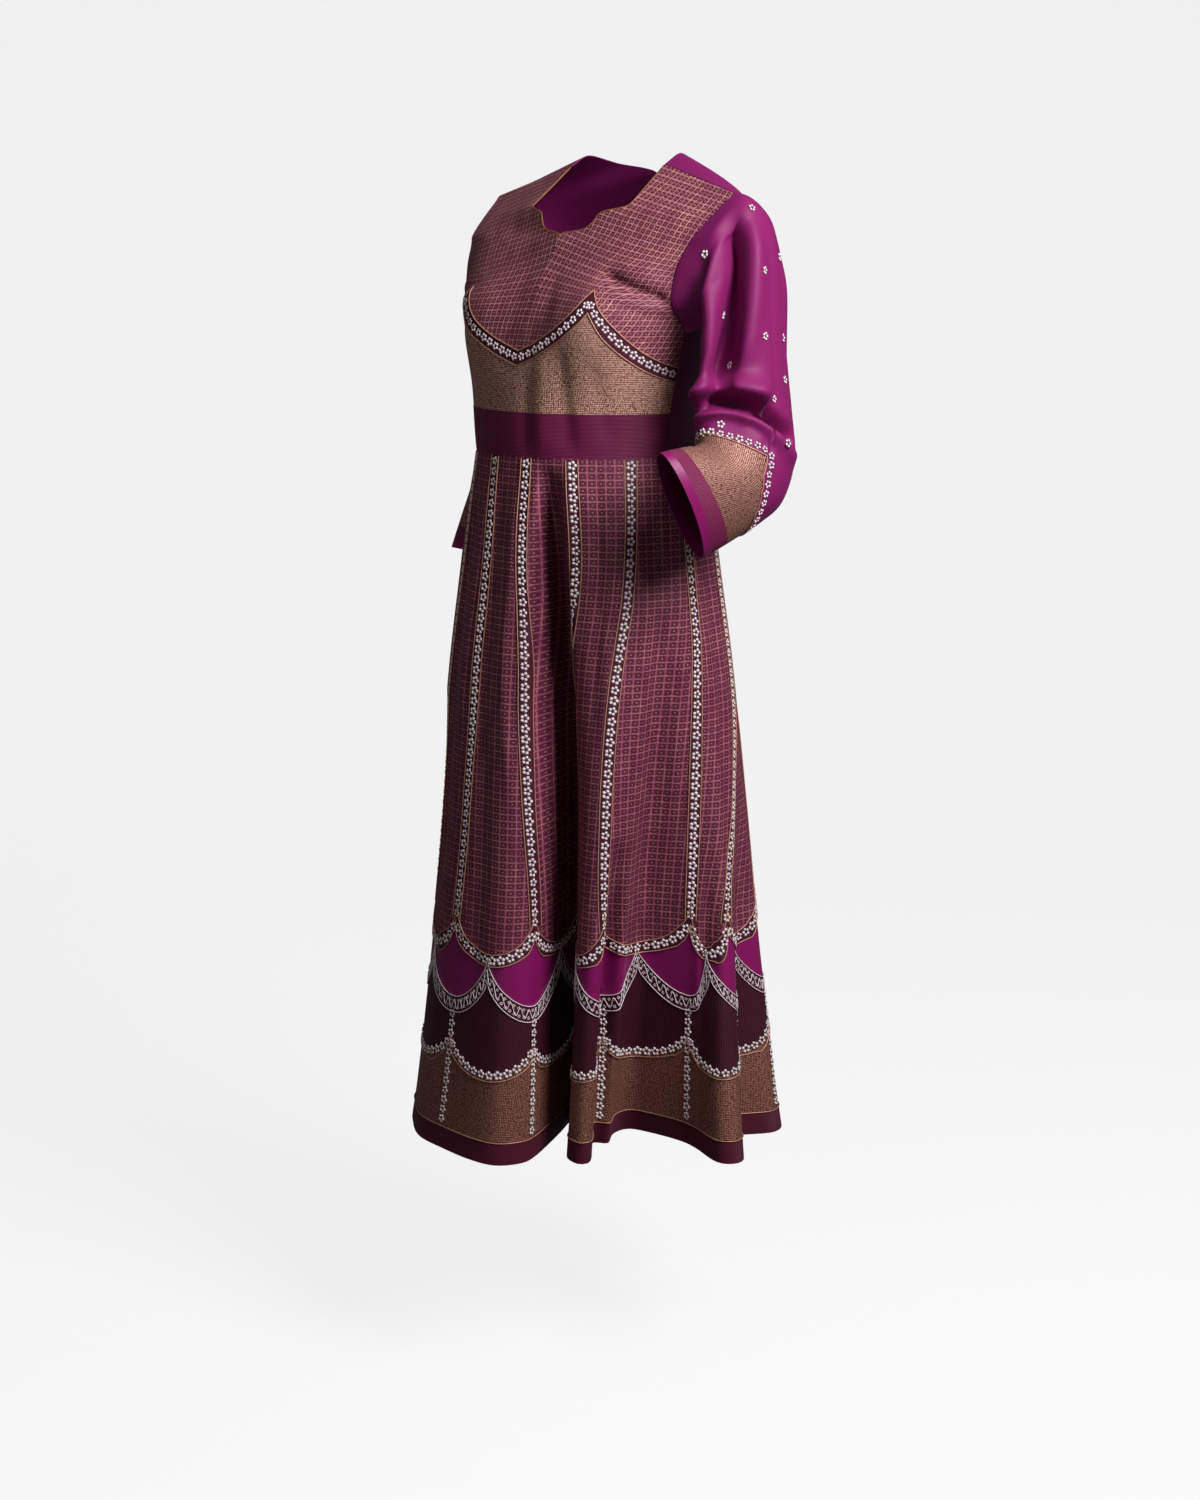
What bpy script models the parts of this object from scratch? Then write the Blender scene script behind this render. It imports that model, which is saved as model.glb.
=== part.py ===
"""Long dress with a fourteen-gore skirt, a panelled bodice and wide banded sleeves, as worn.

Frame: metres, +Z up, the front faces -Y, the wearer's left is +X. The origin is the middle of the
neck opening at the height of the shoulder points, where the wearer holds the dress up.
"""
import math

import bmesh
import bpy
import numpy as np

for old in list(bpy.data.objects):
    bpy.data.objects.remove(old, do_unlink=True)

# Driving dimensions
WALL = 0.0014            # cloth with its lining
SEAM_GAP = 0.0003        # between two pieces that are sewn edge to edge
GORES = 14
WAIST_Z = -0.336         # seam between waistband and skirt
BAND_TOP_Z = -0.285      # top of the waistband
HEM_Z = -1.180
HEM_BAND_HEIGHT = 0.028
GORE_COLUMNS = 7
GORE_ROWS = 12

# The body's middle line: height, sideways and forward shift of each section's centre
CENTRE = {
    "z": (0.010, -0.090, -0.200, -0.336, -0.700, -1.200),
    "x": (0.000, -0.002, -0.009, -0.015, -0.014, -0.012),
    "y": (0.000, -0.010, -0.027, -0.037, -0.036, -0.032),
}

# Skirt as if it hung without folds: height, half width and half depth of each section
ENVELOPE = {
    "z": (-0.336, -0.400, -0.474, -0.592, -0.712, -0.837, -0.975, -1.118, -1.180),
    "a": (0.1450, 0.1535, 0.1620, 0.1760, 0.1870, 0.1975, 0.2100, 0.2260, 0.2340),
    "b": (0.1300, 0.1390, 0.1490, 0.1670, 0.1800, 0.1930, 0.2080, 0.2250, 0.2340),
}

# Folds at the hem, one row a ridge, side or bottom of a fold, round from the wearer's right front:
# angle from the centre front toward the wearer's left, radius there, level where the fold begins
# (0 at the waist, 1 at the hem)
FOLDS = (
    ("ridge", -38.0, 0.232, 0.30),
    ("ridge", -26.0, 0.232, 0.20),
    ("ridge", -13.0, 0.222, 0.10),
    ("ridge", 0.0, 0.219, 0.10),
    ("ridge", 10.0, 0.214, 0.06),
    ("side", 17.0, 0.186, 0.04),
    ("side", 17.5, 0.142, 0.04),
    ("bottom", 14.5, 0.104, 0.04),
    ("bottom", 20.0, 0.086, 0.04),
    ("bottom", 29.5, 0.090, 0.04),
    ("side", 30.5, 0.124, 0.06),
    ("ridge", 31.0, 0.154, 0.10),
    ("ridge", 37.5, 0.174, 0.12),
    ("ridge", 43.5, 0.163, 0.15),
    ("side", 48.0, 0.142, 0.15),
    ("side", 53.0, 0.104, 0.20),
    ("bottom", 61.0, 0.074, 0.20),
    ("bottom", 80.0, 0.066, 0.20),
    ("bottom", 89.0, 0.088, 0.20),
    ("side", 91.5, 0.152, 0.25),
    ("ridge", 85.5, 0.218, 0.30),
    ("ridge", 88.5, 0.240, 0.35),
    ("ridge", 94.0, 0.235, 0.35),
    ("bottom", 103.5, 0.196, 0.40),
    ("bottom", 110.0, 0.190, 0.40),
    ("ridge", 118.0, 0.232, 0.35),
    ("ridge", 127.0, 0.233, 0.35),
    ("side", 133.0, 0.190, 0.30),
    ("bottom", 141.0, 0.126, 0.30),
    ("bottom", 151.0, 0.132, 0.30),
    ("side", 157.0, 0.196, 0.30),
    ("ridge", 164.0, 0.236, 0.25),
    ("ridge", 173.0, 0.228, 0.25),
    ("side", 179.0, 0.180, 0.20),
    ("bottom", 184.0, 0.118, 0.20),
    ("bottom", 193.0, 0.112, 0.20),
    ("side", 201.0, 0.170, 0.25),
    ("ridge", 207.0, 0.228, 0.25),
    ("ridge", 218.0, 0.235, 0.30),
    ("side", 227.0, 0.192, 0.35),
    ("bottom", 234.0, 0.142, 0.35),
    ("bottom", 242.0, 0.146, 0.35),
    ("side", 249.0, 0.196, 0.30),
    ("ridge", 256.0, 0.235, 0.30),
    ("ridge", 266.0, 0.232, 0.30),
    ("side", 274.0, 0.188, 0.35),
    ("bottom", 281.0, 0.138, 0.35),
    ("bottom", 291.0, 0.140, 0.35),
    ("side", 300.0, 0.194, 0.35),
    ("ridge", 310.0, 0.230, 0.35),
)
FOLD_GROWTH = 1.15       # how the fold depth grows from its beginning to the hem
SIDE_SEAM_ROW = 19       # the row of FOLDS that the wearer's left side seam meets

# Front panel, wearer's left half, one row a section from the shoulder seam to the waist seam, all
# from the body's middle line: inner edge (neckline, then centre front), outer edge (armhole, then
# side seam) and how round the section runs between them
FRONT = {
    "row": (0.0, 1.0, 2.0, 3.0, 4.0, 5.0, 6.0, 7.0, 8.0, 9.0, 10.0, 11.0, 12.0),
    "in_x": (0.0760, 0.0775, 0.0790, 0.0500, 0.0410, 0.0300, 0.000, 0.000, 0.000, 0.000, 0.000,
             0.000, 0.000),
    "in_y": (-0.006, -0.034, -0.062, -0.078, -0.083, -0.087, -0.095, -0.105, -0.121, -0.130,
             -0.134, -0.132, -0.130),
    "in_z": (-0.004, -0.027, -0.049, -0.0585, -0.070, -0.078, -0.086, -0.115, -0.150, -0.190,
             -0.240, -0.285, -0.336),
    "out_x": (0.190, 0.186, 0.181, 0.177, 0.173, 0.170, 0.166, 0.160, 0.158, 0.161, 0.155, 0.149,
              0.1423),
    "out_y": (-0.012, -0.023, -0.034, -0.041, -0.047, -0.052, -0.055, -0.062, -0.058, -0.030,
              -0.028, -0.026, -0.0246),
    "out_z": (-0.038, -0.049, -0.062, -0.071, -0.079, -0.087, -0.096, -0.125, -0.160, -0.195,
              -0.242, -0.285, -0.336),
    "round": (0.00, 0.10, 0.15, 0.20, 0.25, 0.30, 0.40, 0.55, 0.75, 0.90, 1.00, 1.00, 1.00),
}
SIDE_ANGLE = math.radians(79.0)   # where the side seam sits on the round section
SIDE_SEAM = {"z0": -0.195, "x0": 0.1610, "y0": -0.0300, "z1": -0.336, "x1": 0.1423, "y1": -0.0246}
BUST = {"x": 0.088, "z": -0.178, "out": 0.022, "wide": 0.050, "high": 0.055}
BUST_CREASE = {"x0": 0.085, "z0": -0.128, "x1": 0.165, "z1": -0.162, "deep": 0.006, "wide": 0.010}

# Scalloped seam between the bodice fronts and the midriff: share of the width, height
SCALLOP = {
    "s": (0.00, 0.12, 0.25, 0.36, 0.435, 0.50, 0.60, 0.74, 0.87, 1.00),
    "z": (-0.221, -0.215, -0.199, -0.178, -0.158, -0.180, -0.202, -0.222, -0.234, -0.241),
}

# Back panel, wearer's left half, the same columns: neck edge or centre back, then the outer edge
BACK = {
    "row": (0.0, 1.0, 2.0, 3.0, 4.0, 5.0, 6.0, 7.0, 8.0, 9.0, 10.0),
    "in_x": (0.0760, 0.0745, 0.0550, 0.0000, 0.0000, 0.0000, 0.000, 0.000, 0.000, 0.000, 0.000),
    "in_y": (-0.0050, 0.022, 0.052, 0.067, 0.085, 0.105, 0.120, 0.130, 0.132, 0.131, 0.130),
    "in_z": (-0.0034, 0.009, 0.000, -0.014, -0.050, -0.100, -0.160, -0.205, -0.245, -0.285,
             -0.336),
    "out_x": (0.190, 0.1895, 0.188, 0.184, 0.179, 0.172, 0.164, 0.161, 0.155, 0.149, 0.1423),
    "out_y": (-0.0110, 0.004, 0.020, 0.036, 0.046, 0.043, 0.020, -0.030, -0.028, -0.026, -0.0246),
    "out_z": (-0.0374, -0.040, -0.050, -0.070, -0.095, -0.125, -0.165, -0.195, -0.242, -0.285,
              -0.336),
    "round": (0.00, 0.25, 0.55, 0.85, 0.90, 0.94, 0.97, 1.00, 1.00, 1.00, 1.00),
}

# Sleeves, one row a ring from the armhole to the opening: share of the length, centre, how far
# the ring has turned from facing sideways to facing down (drop) and to the front (face), half
# sizes outward (p) and frontward (q), depth of the hanging folds
SLEEVE_LEFT = {
    "w": (0.08, 0.16, 0.26, 0.38, 0.50, 0.60, 0.70, 0.78, 0.86, 0.93, 1.00),
    "cx": (0.196, 0.204, 0.207, 0.209, 0.213, 0.220, 0.224, 0.225, 0.226, 0.225, 0.221),
    "cy": (-0.012, -0.015, -0.018, -0.021, -0.023, -0.0265, -0.041, -0.062, -0.088, -0.113,
           -0.137),
    "cz": (-0.132, -0.163, -0.200, -0.245, -0.2895, -0.321, -0.3495, -0.3605, -0.3665, -0.3725,
           -0.379),
    "drop": (19.0, 28.0, 37.0, 46.0, 58.0, 71.0, 84.0, 90.0, 90.0, 90.0, 90.0),
    "face": (0.0, 0.0, 0.0, 2.0, 6.0, 19.0, 36.0, 46.6, 56.0, 60.6, 63.4),
    "p": (0.077, 0.070, 0.062, 0.057, 0.051, 0.050, 0.048, 0.044, 0.038, 0.033, 0.029),
    "q": (0.057, 0.059, 0.060, 0.060, 0.061, 0.064, 0.0655, 0.064, 0.0645, 0.067, 0.069),
    "fold": (0.001, 0.004, 0.008, 0.010, 0.008, 0.004, 0.001, 0.000, 0.000, 0.000, 0.000),
}
SLEEVE_RIGHT = {
    "w": (0.08, 0.16, 0.26, 0.38, 0.50, 0.62, 0.74, 0.87, 1.00),
    "cx": (-0.201, -0.209, -0.214, -0.216, -0.217, -0.218, -0.219, -0.224, -0.232),
    "cy": (0.004, 0.010, 0.018, 0.024, 0.026, 0.024, 0.017, 0.007, -0.004),
    "cz": (-0.132, -0.163, -0.205, -0.255, -0.305, -0.352, -0.398, -0.444, -0.487),
    "drop": (19.0, 28.0, 38.0, 52.0, 66.0, 76.0, 82.0, 85.0, 87.0),
    "face": (0.0, 0.0, 0.0, 0.0, 2.0, 4.0, 8.0, 12.0, 14.0),
    "p": (0.077, 0.070, 0.061, 0.053, 0.046, 0.042, 0.039, 0.037, 0.036),
    "q": (0.056, 0.057, 0.057, 0.056, 0.055, 0.054, 0.054, 0.055, 0.056),
    "fold": (0.001, 0.003, 0.006, 0.007, 0.006, 0.005, 0.003, 0.001, 0.000),
}
SLEEVE_COLUMNS = 22
FOREARM_TURN = {"left": 20.0, "right": 0.0}   # inward turn of the forearm, degrees
SLEEVE_LENGTH = 0.47
EDGE_BAND = 0.015        # bright band at the sleeve opening
WINE_BAND = 0.026        # band above it
CUFF_SHORT = 0.056       # brocade cuff at the underarm seam, from the opening
CUFF_LONG = 0.104        # brocade cuff at its point
NECK_CORD = 0.0016       # radius of the cord on the neckline


# A smooth curve through a table's rows: slopes once, then any value of the first column
SLOPES = {}


def smooth(xs, ys, x):
    key = (id(xs), id(ys))
    if key not in SLOPES:
        sec = [(ys[i + 1] - ys[i]) / (xs[i + 1] - xs[i]) for i in range(len(xs) - 1)]
        slopes = [sec[0]]
        for i in range(1, len(sec)):
            mid = (ys[i + 1] - ys[i - 1]) / (xs[i + 1] - xs[i - 1])
            limit = 3 * min(abs(sec[i - 1]), abs(sec[i]))
            slopes.append(0.0 if sec[i - 1] * sec[i] <= 0 else max(-limit, min(limit, mid)))
        slopes.append(sec[-1])
        SLOPES[key] = slopes
    m = SLOPES[key]
    rising = xs[-1] > xs[0]
    k = 0
    while k < len(xs) - 2 and ((x > xs[k + 1]) if rising else (x < xs[k + 1])):
        k += 1
    h = xs[k + 1] - xs[k]
    u = max(0.0, min(1.0, (x - xs[k]) / h))
    return ((2 * u**3 - 3 * u**2 + 1) * ys[k] + (u**3 - 2 * u**2 + u) * h * m[k]
            + (3 * u**2 - 2 * u**3) * ys[k + 1] + (u**3 - u**2) * h * m[k + 1])


def centre(z):
    return smooth(CENTRE["z"], CENTRE["x"], z), smooth(CENTRE["z"], CENTRE["y"], z)


# Skirt: a closed line of fold points at a level, then points at any angle round it
def skirt_level(z):
    return (WAIST_Z - z) / (WAIST_Z - HEM_Z)


def envelope_point(angle, z):
    cx, cy = centre(z)
    a = smooth(ENVELOPE["z"], ENVELOPE["a"], z)
    b = smooth(ENVELOPE["z"], ENVELOPE["b"], z)
    return np.array([cx + a * math.sin(angle), cy - b * math.cos(angle)])


def closed_curve(points, steps):
    n = len(points)
    out = []
    for i in range(n):
        p0, p1, p2, p3 = (points[(i + k - 1) % n] for k in range(4))
        for j in range(steps):
            u = j / steps
            out.append(0.5 * (2 * p1 + (p2 - p0) * u + (2 * p0 - 5 * p1 + 4 * p2 - p3) * u * u
                              + (3 * p1 - p0 - 3 * p2 + p3) * u**3))
    return np.array(out)


def hem_points():
    cx, cy = centre(HEM_Z)
    rows = []
    for kind, angle, radius, start in FOLDS:
        a = math.radians(angle)
        rows.append(np.array([cx + radius * math.sin(a), cy - radius * math.cos(a)]))
    return rows


def material_angles(points, steps=8):
    curve = closed_curve(points, steps)
    seg = np.linalg.norm(np.roll(curve, -1, axis=0) - curve, axis=1)
    run = np.concatenate([[0.0], np.cumsum(seg)])
    share = run[:-1] / run[-1]
    anchor = share[SIDE_SEAM_ROW * steps]
    return curve, share, anchor, run[-1]


HEM = hem_points()
_, _share, _anchor, HEM_ROUND = material_angles(HEM)
HEM_ANGLES = [math.pi / 2 + 2 * math.pi * (_share[i * 8] - _anchor) for i in range(len(FOLDS))]


def skirt_ring(z):
    t = skirt_level(z)
    points = []
    for i, (kind, angle, radius, start) in enumerate(FOLDS):
        grow = max(0.0, (t - start) / (1.0 - start))**FOLD_GROWTH if t > start else 0.0
        shift = HEM[i] - envelope_point(HEM_ANGLES[i], HEM_Z)
        points.append(envelope_point(HEM_ANGLES[i], z) + shift * grow)
    curve, share, anchor, around = material_angles(points)
    angle = math.pi / 2 + 2 * math.pi * (share - anchor)
    first = np.concatenate([angle, angle + 2 * math.pi, angle + 4 * math.pi]) - 2 * math.pi
    return first, np.tile(curve, (3, 1)), around


RINGS = {}


def skirt_point(angle, z):
    key = round(float(z), 6)
    if key not in RINGS:
        RINGS[key] = skirt_ring(z)
    angles, curve, around = RINGS[key]
    x = np.interp(angle, angles, curve[:, 0])
    y = np.interp(angle, angles, curve[:, 1])
    return np.array([x, y, z])


# Bodice halves
def table_row(table, row):
    return [smooth(table["row"], table[k], row)
            for k in ("in_x", "in_y", "in_z", "out_x", "out_y", "out_z", "round")]


def half_panel(table, side, s, row):
    ix, iy, iz, ox, oy, oz, rnd = table_row(table, row)
    if oz <= SIDE_SEAM["z0"]:
        f = (oz - SIDE_SEAM["z0"]) / (SIDE_SEAM["z1"] - SIDE_SEAM["z0"])
        ox = SIDE_SEAM["x0"] + (SIDE_SEAM["x1"] - SIDE_SEAM["x0"]) * f
        oy = SIDE_SEAM["y0"] + (SIDE_SEAM["y1"] - SIDE_SEAM["y0"]) * f
    fx = (1 - rnd) * s + rnd * math.sin(SIDE_ANGLE * s) / math.sin(SIDE_ANGLE)
    fy = (1 - rnd) * s + rnd * (1 - math.cos(SIDE_ANGLE * s)) / (1 - math.cos(SIDE_ANGLE))
    x = ix + (ox - ix) * fx
    y = iy + (oy - iy) * fy
    z = iz + (oz - iz) * s
    if table is FRONT:
        swell = BUST["out"] * math.exp(-((x - BUST["x"]) / BUST["wide"])**2
                                       - ((z - BUST["z"]) / BUST["high"])**2)
        edge = min(1.0, s / 0.15) * min(1.0, (1 - s) / 0.2)
        y -= swell * edge
        x += 0.45 * swell * edge
        if side > 0:
            dx, dz = BUST_CREASE["x1"] - BUST_CREASE["x0"], BUST_CREASE["z1"] - BUST_CREASE["z0"]
            along = ((x - BUST_CREASE["x0"]) * dx + (z - BUST_CREASE["z0"]) * dz) / (dx * dx + dz * dz)
            along = max(0.0, min(1.0, along))
            off = math.hypot(x - BUST_CREASE["x0"] - along * dx, z - BUST_CREASE["z0"] - along * dz)
            y += BUST_CREASE["deep"] * edge * along**0.5 * math.exp(-(off / BUST_CREASE["wide"])**2)
    cx, cy = centre(z)
    return np.array([cx + side * x, cy + y, z])


def panel_normal(table, side, s, row):
    top = table["row"][-1]
    ds, dr = 0.004, 0.02
    across = half_panel(table, side, min(1.0, s + ds), row) - half_panel(table, side, max(0.0, s - ds), row)
    down = (half_panel(table, side, s, min(top, row + dr)) - half_panel(table, side, s, max(0.0, row - dr)))
    n = np.cross(across, down)
    n /= max(np.linalg.norm(n), 1e-9)
    p = half_panel(table, side, s, row)
    cx, cy = centre(p[2])
    away = p - np.array([cx, cy, p[2] - 0.08])
    return n if n.dot(away) > 0 else -n


def seam_normal(table, side, s, row):
    n = panel_normal(table, side, s, row)
    other = BACK if table is FRONT else FRONT
    z = half_panel(table, side, s, row)[2]
    if row < 0.01:
        n = n + panel_normal(other, side, s, 0.0)
    elif s > 0.99 and z < -0.19:
        n = n + panel_normal(other, side, 1.0, row_at_height(other, 1.0, z))
        n[2] = 0.0
    if s < 0.01 and row > (2.95 if table is BACK else 5.9):
        n[0] = 0.0
    if abs(z - WAIST_Z) < 0.001:
        n[2] = 0.0
    return n / np.linalg.norm(n)


def row_at_height(table, s, z):
    low, high = 0.0, table["row"][-1]
    for _ in range(30):
        mid = (low + high) / 2
        iz = smooth(table["row"], table["in_z"], mid)
        oz = smooth(table["row"], table["out_z"], mid)
        if iz + (oz - iz) * s > z:
            low = mid
        else:
            high = mid
    return (low + high) / 2


# Solids from a grid of outer points, moved inward by the wall
def grid_normals(grid, closed):
    if closed:
        across = np.roll(grid, -1, axis=1) - np.roll(grid, 1, axis=1)
    else:
        across = np.gradient(grid, axis=1)
    down = np.gradient(grid, axis=0)
    n = np.cross(across, down)
    return n / np.maximum(np.linalg.norm(n, axis=2, keepdims=True), 1e-9)


def shell(name, grid, colour, rough=0.7, closed=False, wall=WALL, normals=None, flip=False):
    grid = np.asarray(grid, float)
    rows, cols = grid.shape[:2]
    n = grid_normals(grid, closed) if normals is None else normals
    inner = grid + n * wall
    verts = np.concatenate([grid.reshape(-1, 3), inner.reshape(-1, 3)])
    size = rows * cols
    at = lambda r, c: r * cols + (c % cols)
    faces = []
    last = cols if closed else cols - 1
    for r in range(rows - 1):
        for c in range(last):
            a, b, d, e = at(r, c), at(r, c + 1), at(r + 1, c + 1), at(r + 1, c)
            faces.append((a, b, d, e))
            faces.append((a + size, e + size, d + size, b + size))
    for c in range(last):
        a, b = at(0, c), at(0, c + 1)
        faces.append((a, a + size, b + size, b))
        a, b = at(rows - 1, c), at(rows - 1, c + 1)
        faces.append((a, b, b + size, a + size))
    if not closed:
        for r in range(rows - 1):
            a, b = at(r, 0), at(r + 1, 0)
            faces.append((a, b, b + size, a + size))
            a, b = at(r, cols - 1), at(r + 1, cols - 1)
            faces.append((a, a + size, b + size, b))
    return solid(name, verts, faces, colour, rough)


def solid(name, verts, faces, colour, rough):
    mesh = bpy.data.meshes.new(name)
    mesh.from_pydata([tuple(v) for v in verts], [], faces)
    bm = bmesh.new()
    bm.from_mesh(mesh)
    bmesh.ops.triangulate(bm, faces=bm.faces[:], quad_method="SHORT_EDGE", ngon_method="BEAUTY")
    bmesh.ops.recalc_face_normals(bm, faces=bm.faces[:])
    bm.to_mesh(mesh)
    bm.free()
    obj = bpy.data.objects.new(name, mesh)
    bpy.context.scene.collection.objects.link(obj)
    mat = bpy.data.materials.new(name)
    mat.use_nodes = True
    shader = mat.node_tree.nodes["Principled BSDF"]
    shader.inputs["Base Color"].default_value = (*colour, 1.0)
    shader.inputs["Roughness"].default_value = rough
    mesh.materials.append(mat)
    return obj


CREPE = (0.27, 0.014, 0.16)
SATIN = (0.36, 0.02, 0.25)
WINE = (0.10, 0.008, 0.035)
BROCADE = (0.24, 0.06, 0.10)
BRONZE = (0.22, 0.10, 0.07)
CORD = (0.45, 0.24, 0.12)

# Skirt gores, numbered from the wearer's right front round by the left
GORE_ANGLE = 2 * math.pi / GORES


def skirt_shell(name, first, last, columns, levels, colour, top_gap=0.0, bottom_gap=0.0):
    a0, a1 = first + 0.0, last
    grid, normals = [], []
    for k, z in enumerate(levels):
        zz = z - (top_gap if k == 0 else 0.0) + (bottom_gap if k == len(levels) - 1 else 0.0)
        around = RINGS.setdefault(round(float(zz), 6), skirt_ring(zz))[2]
        trim = SEAM_GAP / 2 * 2 * math.pi / around
        row, nrow = [], []
        for c in range(columns + 1):
            ang = a0 + trim + (a1 - a0 - 2 * trim) * c / columns
            near = a0 + (a1 - a0) * c / columns
            row.append(skirt_point(ang, zz))
            d = 0.01
            across = skirt_point(near + d, zz) - skirt_point(near - d, zz)
            up = skirt_point(near, min(WAIST_Z, zz + 0.01)) - skirt_point(near, max(HEM_Z, zz - 0.01))
            n = np.cross(across, up)
            if k == 0:
                n[2] = 0.0
            nrow.append(n / np.linalg.norm(n))
        grid.append(row)
        normals.append(nrow)
    return shell(name, grid, colour, normals=-np.array(normals))


BAND_Z = HEM_Z + HEM_BAND_HEIGHT
gore_levels = [WAIST_Z + (BAND_Z - WAIST_Z) * (i / GORE_ROWS) for i in range(GORE_ROWS + 1)]
for g in range(GORES):
    start = -GORE_ANGLE / 2 + g * GORE_ANGLE
    skirt_shell("gore_%02d" % (g + 1), start, start + GORE_ANGLE, GORE_COLUMNS, gore_levels, BROCADE,
                top_gap=SEAM_GAP / 2, bottom_gap=SEAM_GAP / 2)

hem_levels = [BAND_Z, HEM_Z]
for name, start in (("hem_band_front", -math.pi / 2), ("hem_band_back", math.pi / 2)):
    skirt_shell(name, start, start + math.pi, GORE_COLUMNS * GORES // 2, hem_levels, WINE,
                top_gap=SEAM_GAP / 2)

# Bodice fronts down to the scalloped seam, then the midriff down to the waistband
FRONT_COLUMNS = 10
UPPER_ROWS = (0.0, 0.7, 1.4, 2.0, 2.35, 2.7, 3.0, 3.5, 4.0, 4.5, 5.0, 5.5, 6.0)


def front_grid(side, top_rows, top_z, bottom_z, between):
    grid, normals = [], []
    for k in range(len(top_rows) + between + 1):
        line, nline = [], []
        for c in range(FRONT_COLUMNS + 1):
            s = c / FRONT_COLUMNS
            gap = SEAM_GAP / 2 / 0.19
            s = gap + s * (1 - 2 * gap)
            if k < len(top_rows):
                row = top_rows[k]
            else:
                if top_rows:
                    start = top_rows[-1]
                    f = (k - len(top_rows) + 1) / (between + 1)
                else:
                    start = row_at_height(FRONT, s, top_z(s))
                    f = k / between
                end = row_at_height(FRONT, s, bottom_z(s))
                row = start + (end - start) * f
            line.append(half_panel(FRONT, side, s, row))
            nline.append(-seam_normal(FRONT, side, s, row))
        grid.append(line)
        normals.append(nline)
    return np.array(grid), np.array(normals)


def scallop_z(s):
    return smooth(SCALLOP["s"], SCALLOP["z"], s)


def oriented(name, pair, side, colour):
    grid, normals = pair
    if side < 0:
        grid, normals = grid[:, ::-1], normals[:, ::-1]
    return shell(name, grid, colour, normals=normals)


for side, word in ((1, "left"), (-1, "right")):
    upper = front_grid(side, UPPER_ROWS, None, lambda s: scallop_z(s) + SEAM_GAP / 2, 5)
    oriented("bodice_front_" + word, upper, side, BROCADE)
    lower = front_grid(side, (), lambda s: scallop_z(s) - SEAM_GAP / 2,
                       lambda s: BAND_TOP_Z + SEAM_GAP / 2, 3)
    oriented("midriff_front_" + word, lower, side, BRONZE)


def both_halves(table, place, columns, rows):
    grid, normals = [], []
    for k in range(rows + 1):
        line, nline = [], []
        for c in range(-columns, columns + 1):
            side = 1 if c >= 0 else -1
            s, row = place(abs(c) / columns, k / rows)
            line.append(half_panel(table, side, s, row))
            nline.append(-seam_normal(table, side, s, row))
        grid.append(line)
        normals.append(nline)
    return np.array(grid), np.array(normals)


SIDE_TRIM = SEAM_GAP / 2 / 0.19


def band_place(c, f):
    s = min(c, 1 - SIDE_TRIM)
    z = BAND_TOP_Z - SEAM_GAP / 2 + (WAIST_Z - BAND_TOP_Z + SEAM_GAP) * f
    return s, row_at_height(FRONT, s, z)


band = both_halves(FRONT, band_place, 10, 2)
shell("waistband_front", band[0], WINE, normals=band[1])


# Back in one piece: each column starts on the neck edge (first five) or on the shoulder seam, and
# has taken its place across the back by the row of the centre back neck
BACK_COLUMNS = {
    "top_row": (3.0, 2.55, 2.0, 1.0, 0.0, 0.0, 0.0, 0.0, 0.0, 0.0, 0.0),
    "top_s": (0.0, 0.0, 0.0, 0.0, 0.0, 0.17, 0.34, 0.51, 0.68, 0.84, 1.0),
    "low_s": (0.0, 0.13, 0.24, 0.33, 0.41, 0.51, 0.61, 0.71, 0.81, 0.91, 1.0),
}


def back_place(c, f):
    top_row, top_s, low_s = (BACK_COLUMNS[k][round(c * 10)] for k in ("top_row", "top_s", "low_s"))
    row_top = max(0.010, top_row)
    row = row_top + (10.0 - row_top) * f
    settle = min(1.0, (row - row_top) / max(3.0 - row_top, 0.001)) if f > 0 else 0.0
    s = min(top_s + (low_s - top_s) * settle, 1 - SIDE_TRIM)
    if f == 1:
        row = row_at_height(BACK, s, WAIST_Z + SEAM_GAP / 2)
    return s, row


back = both_halves(BACK, back_place, FRONT_COLUMNS, 12)
shell("bodice_back", back[0][:, ::-1], CREPE, normals=back[1][:, ::-1])


# Cord on the front neck edge, from one shoulder seam round to the other
line, line_out = [], []
for side in (1, -1):
    for r in ((0.12,) + UPPER_ROWS[1:])[::side]:
        if side < 0 and r == 6.0:
            continue
        line.append(half_panel(FRONT, side, 0.0, r))
        line_out.append(seam_normal(FRONT, side, 0.0, r))
count = len(line)
rings = []
for k in range(count):
    ahead = line[min(k + 1, count - 1)] - line[k]
    behind = line[k] - line[max(k - 1, 0)]
    along = ahead / max(np.linalg.norm(ahead), 1e-9) + behind / max(np.linalg.norm(behind), 1e-9)
    along /= np.linalg.norm(along)
    up = line_out[k] - along * line_out[k].dot(along)
    up /= np.linalg.norm(up)
    away = np.cross(along, up)
    core = line[k] - up * (WALL / 2) + away * (NECK_CORD + 0.0006)
    rings.append([core + NECK_CORD * (away * math.cos(a) + up * math.sin(a))
                  for a in np.linspace(0, 2 * math.pi, 7)[:-1]])
verts = np.array(rings).reshape(-1, 3)
faces = [tuple(range(6)), tuple(range((count - 1) * 6, count * 6))]
for k in range(count - 1):
    for j in range(6):
        j2 = (j + 1) % 6
        faces.append((k * 6 + j, k * 6 + j2, (k + 1) * 6 + j2, (k + 1) * 6 + j))
solid("neck_cord", verts, faces, CORD, 0.4)


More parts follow.
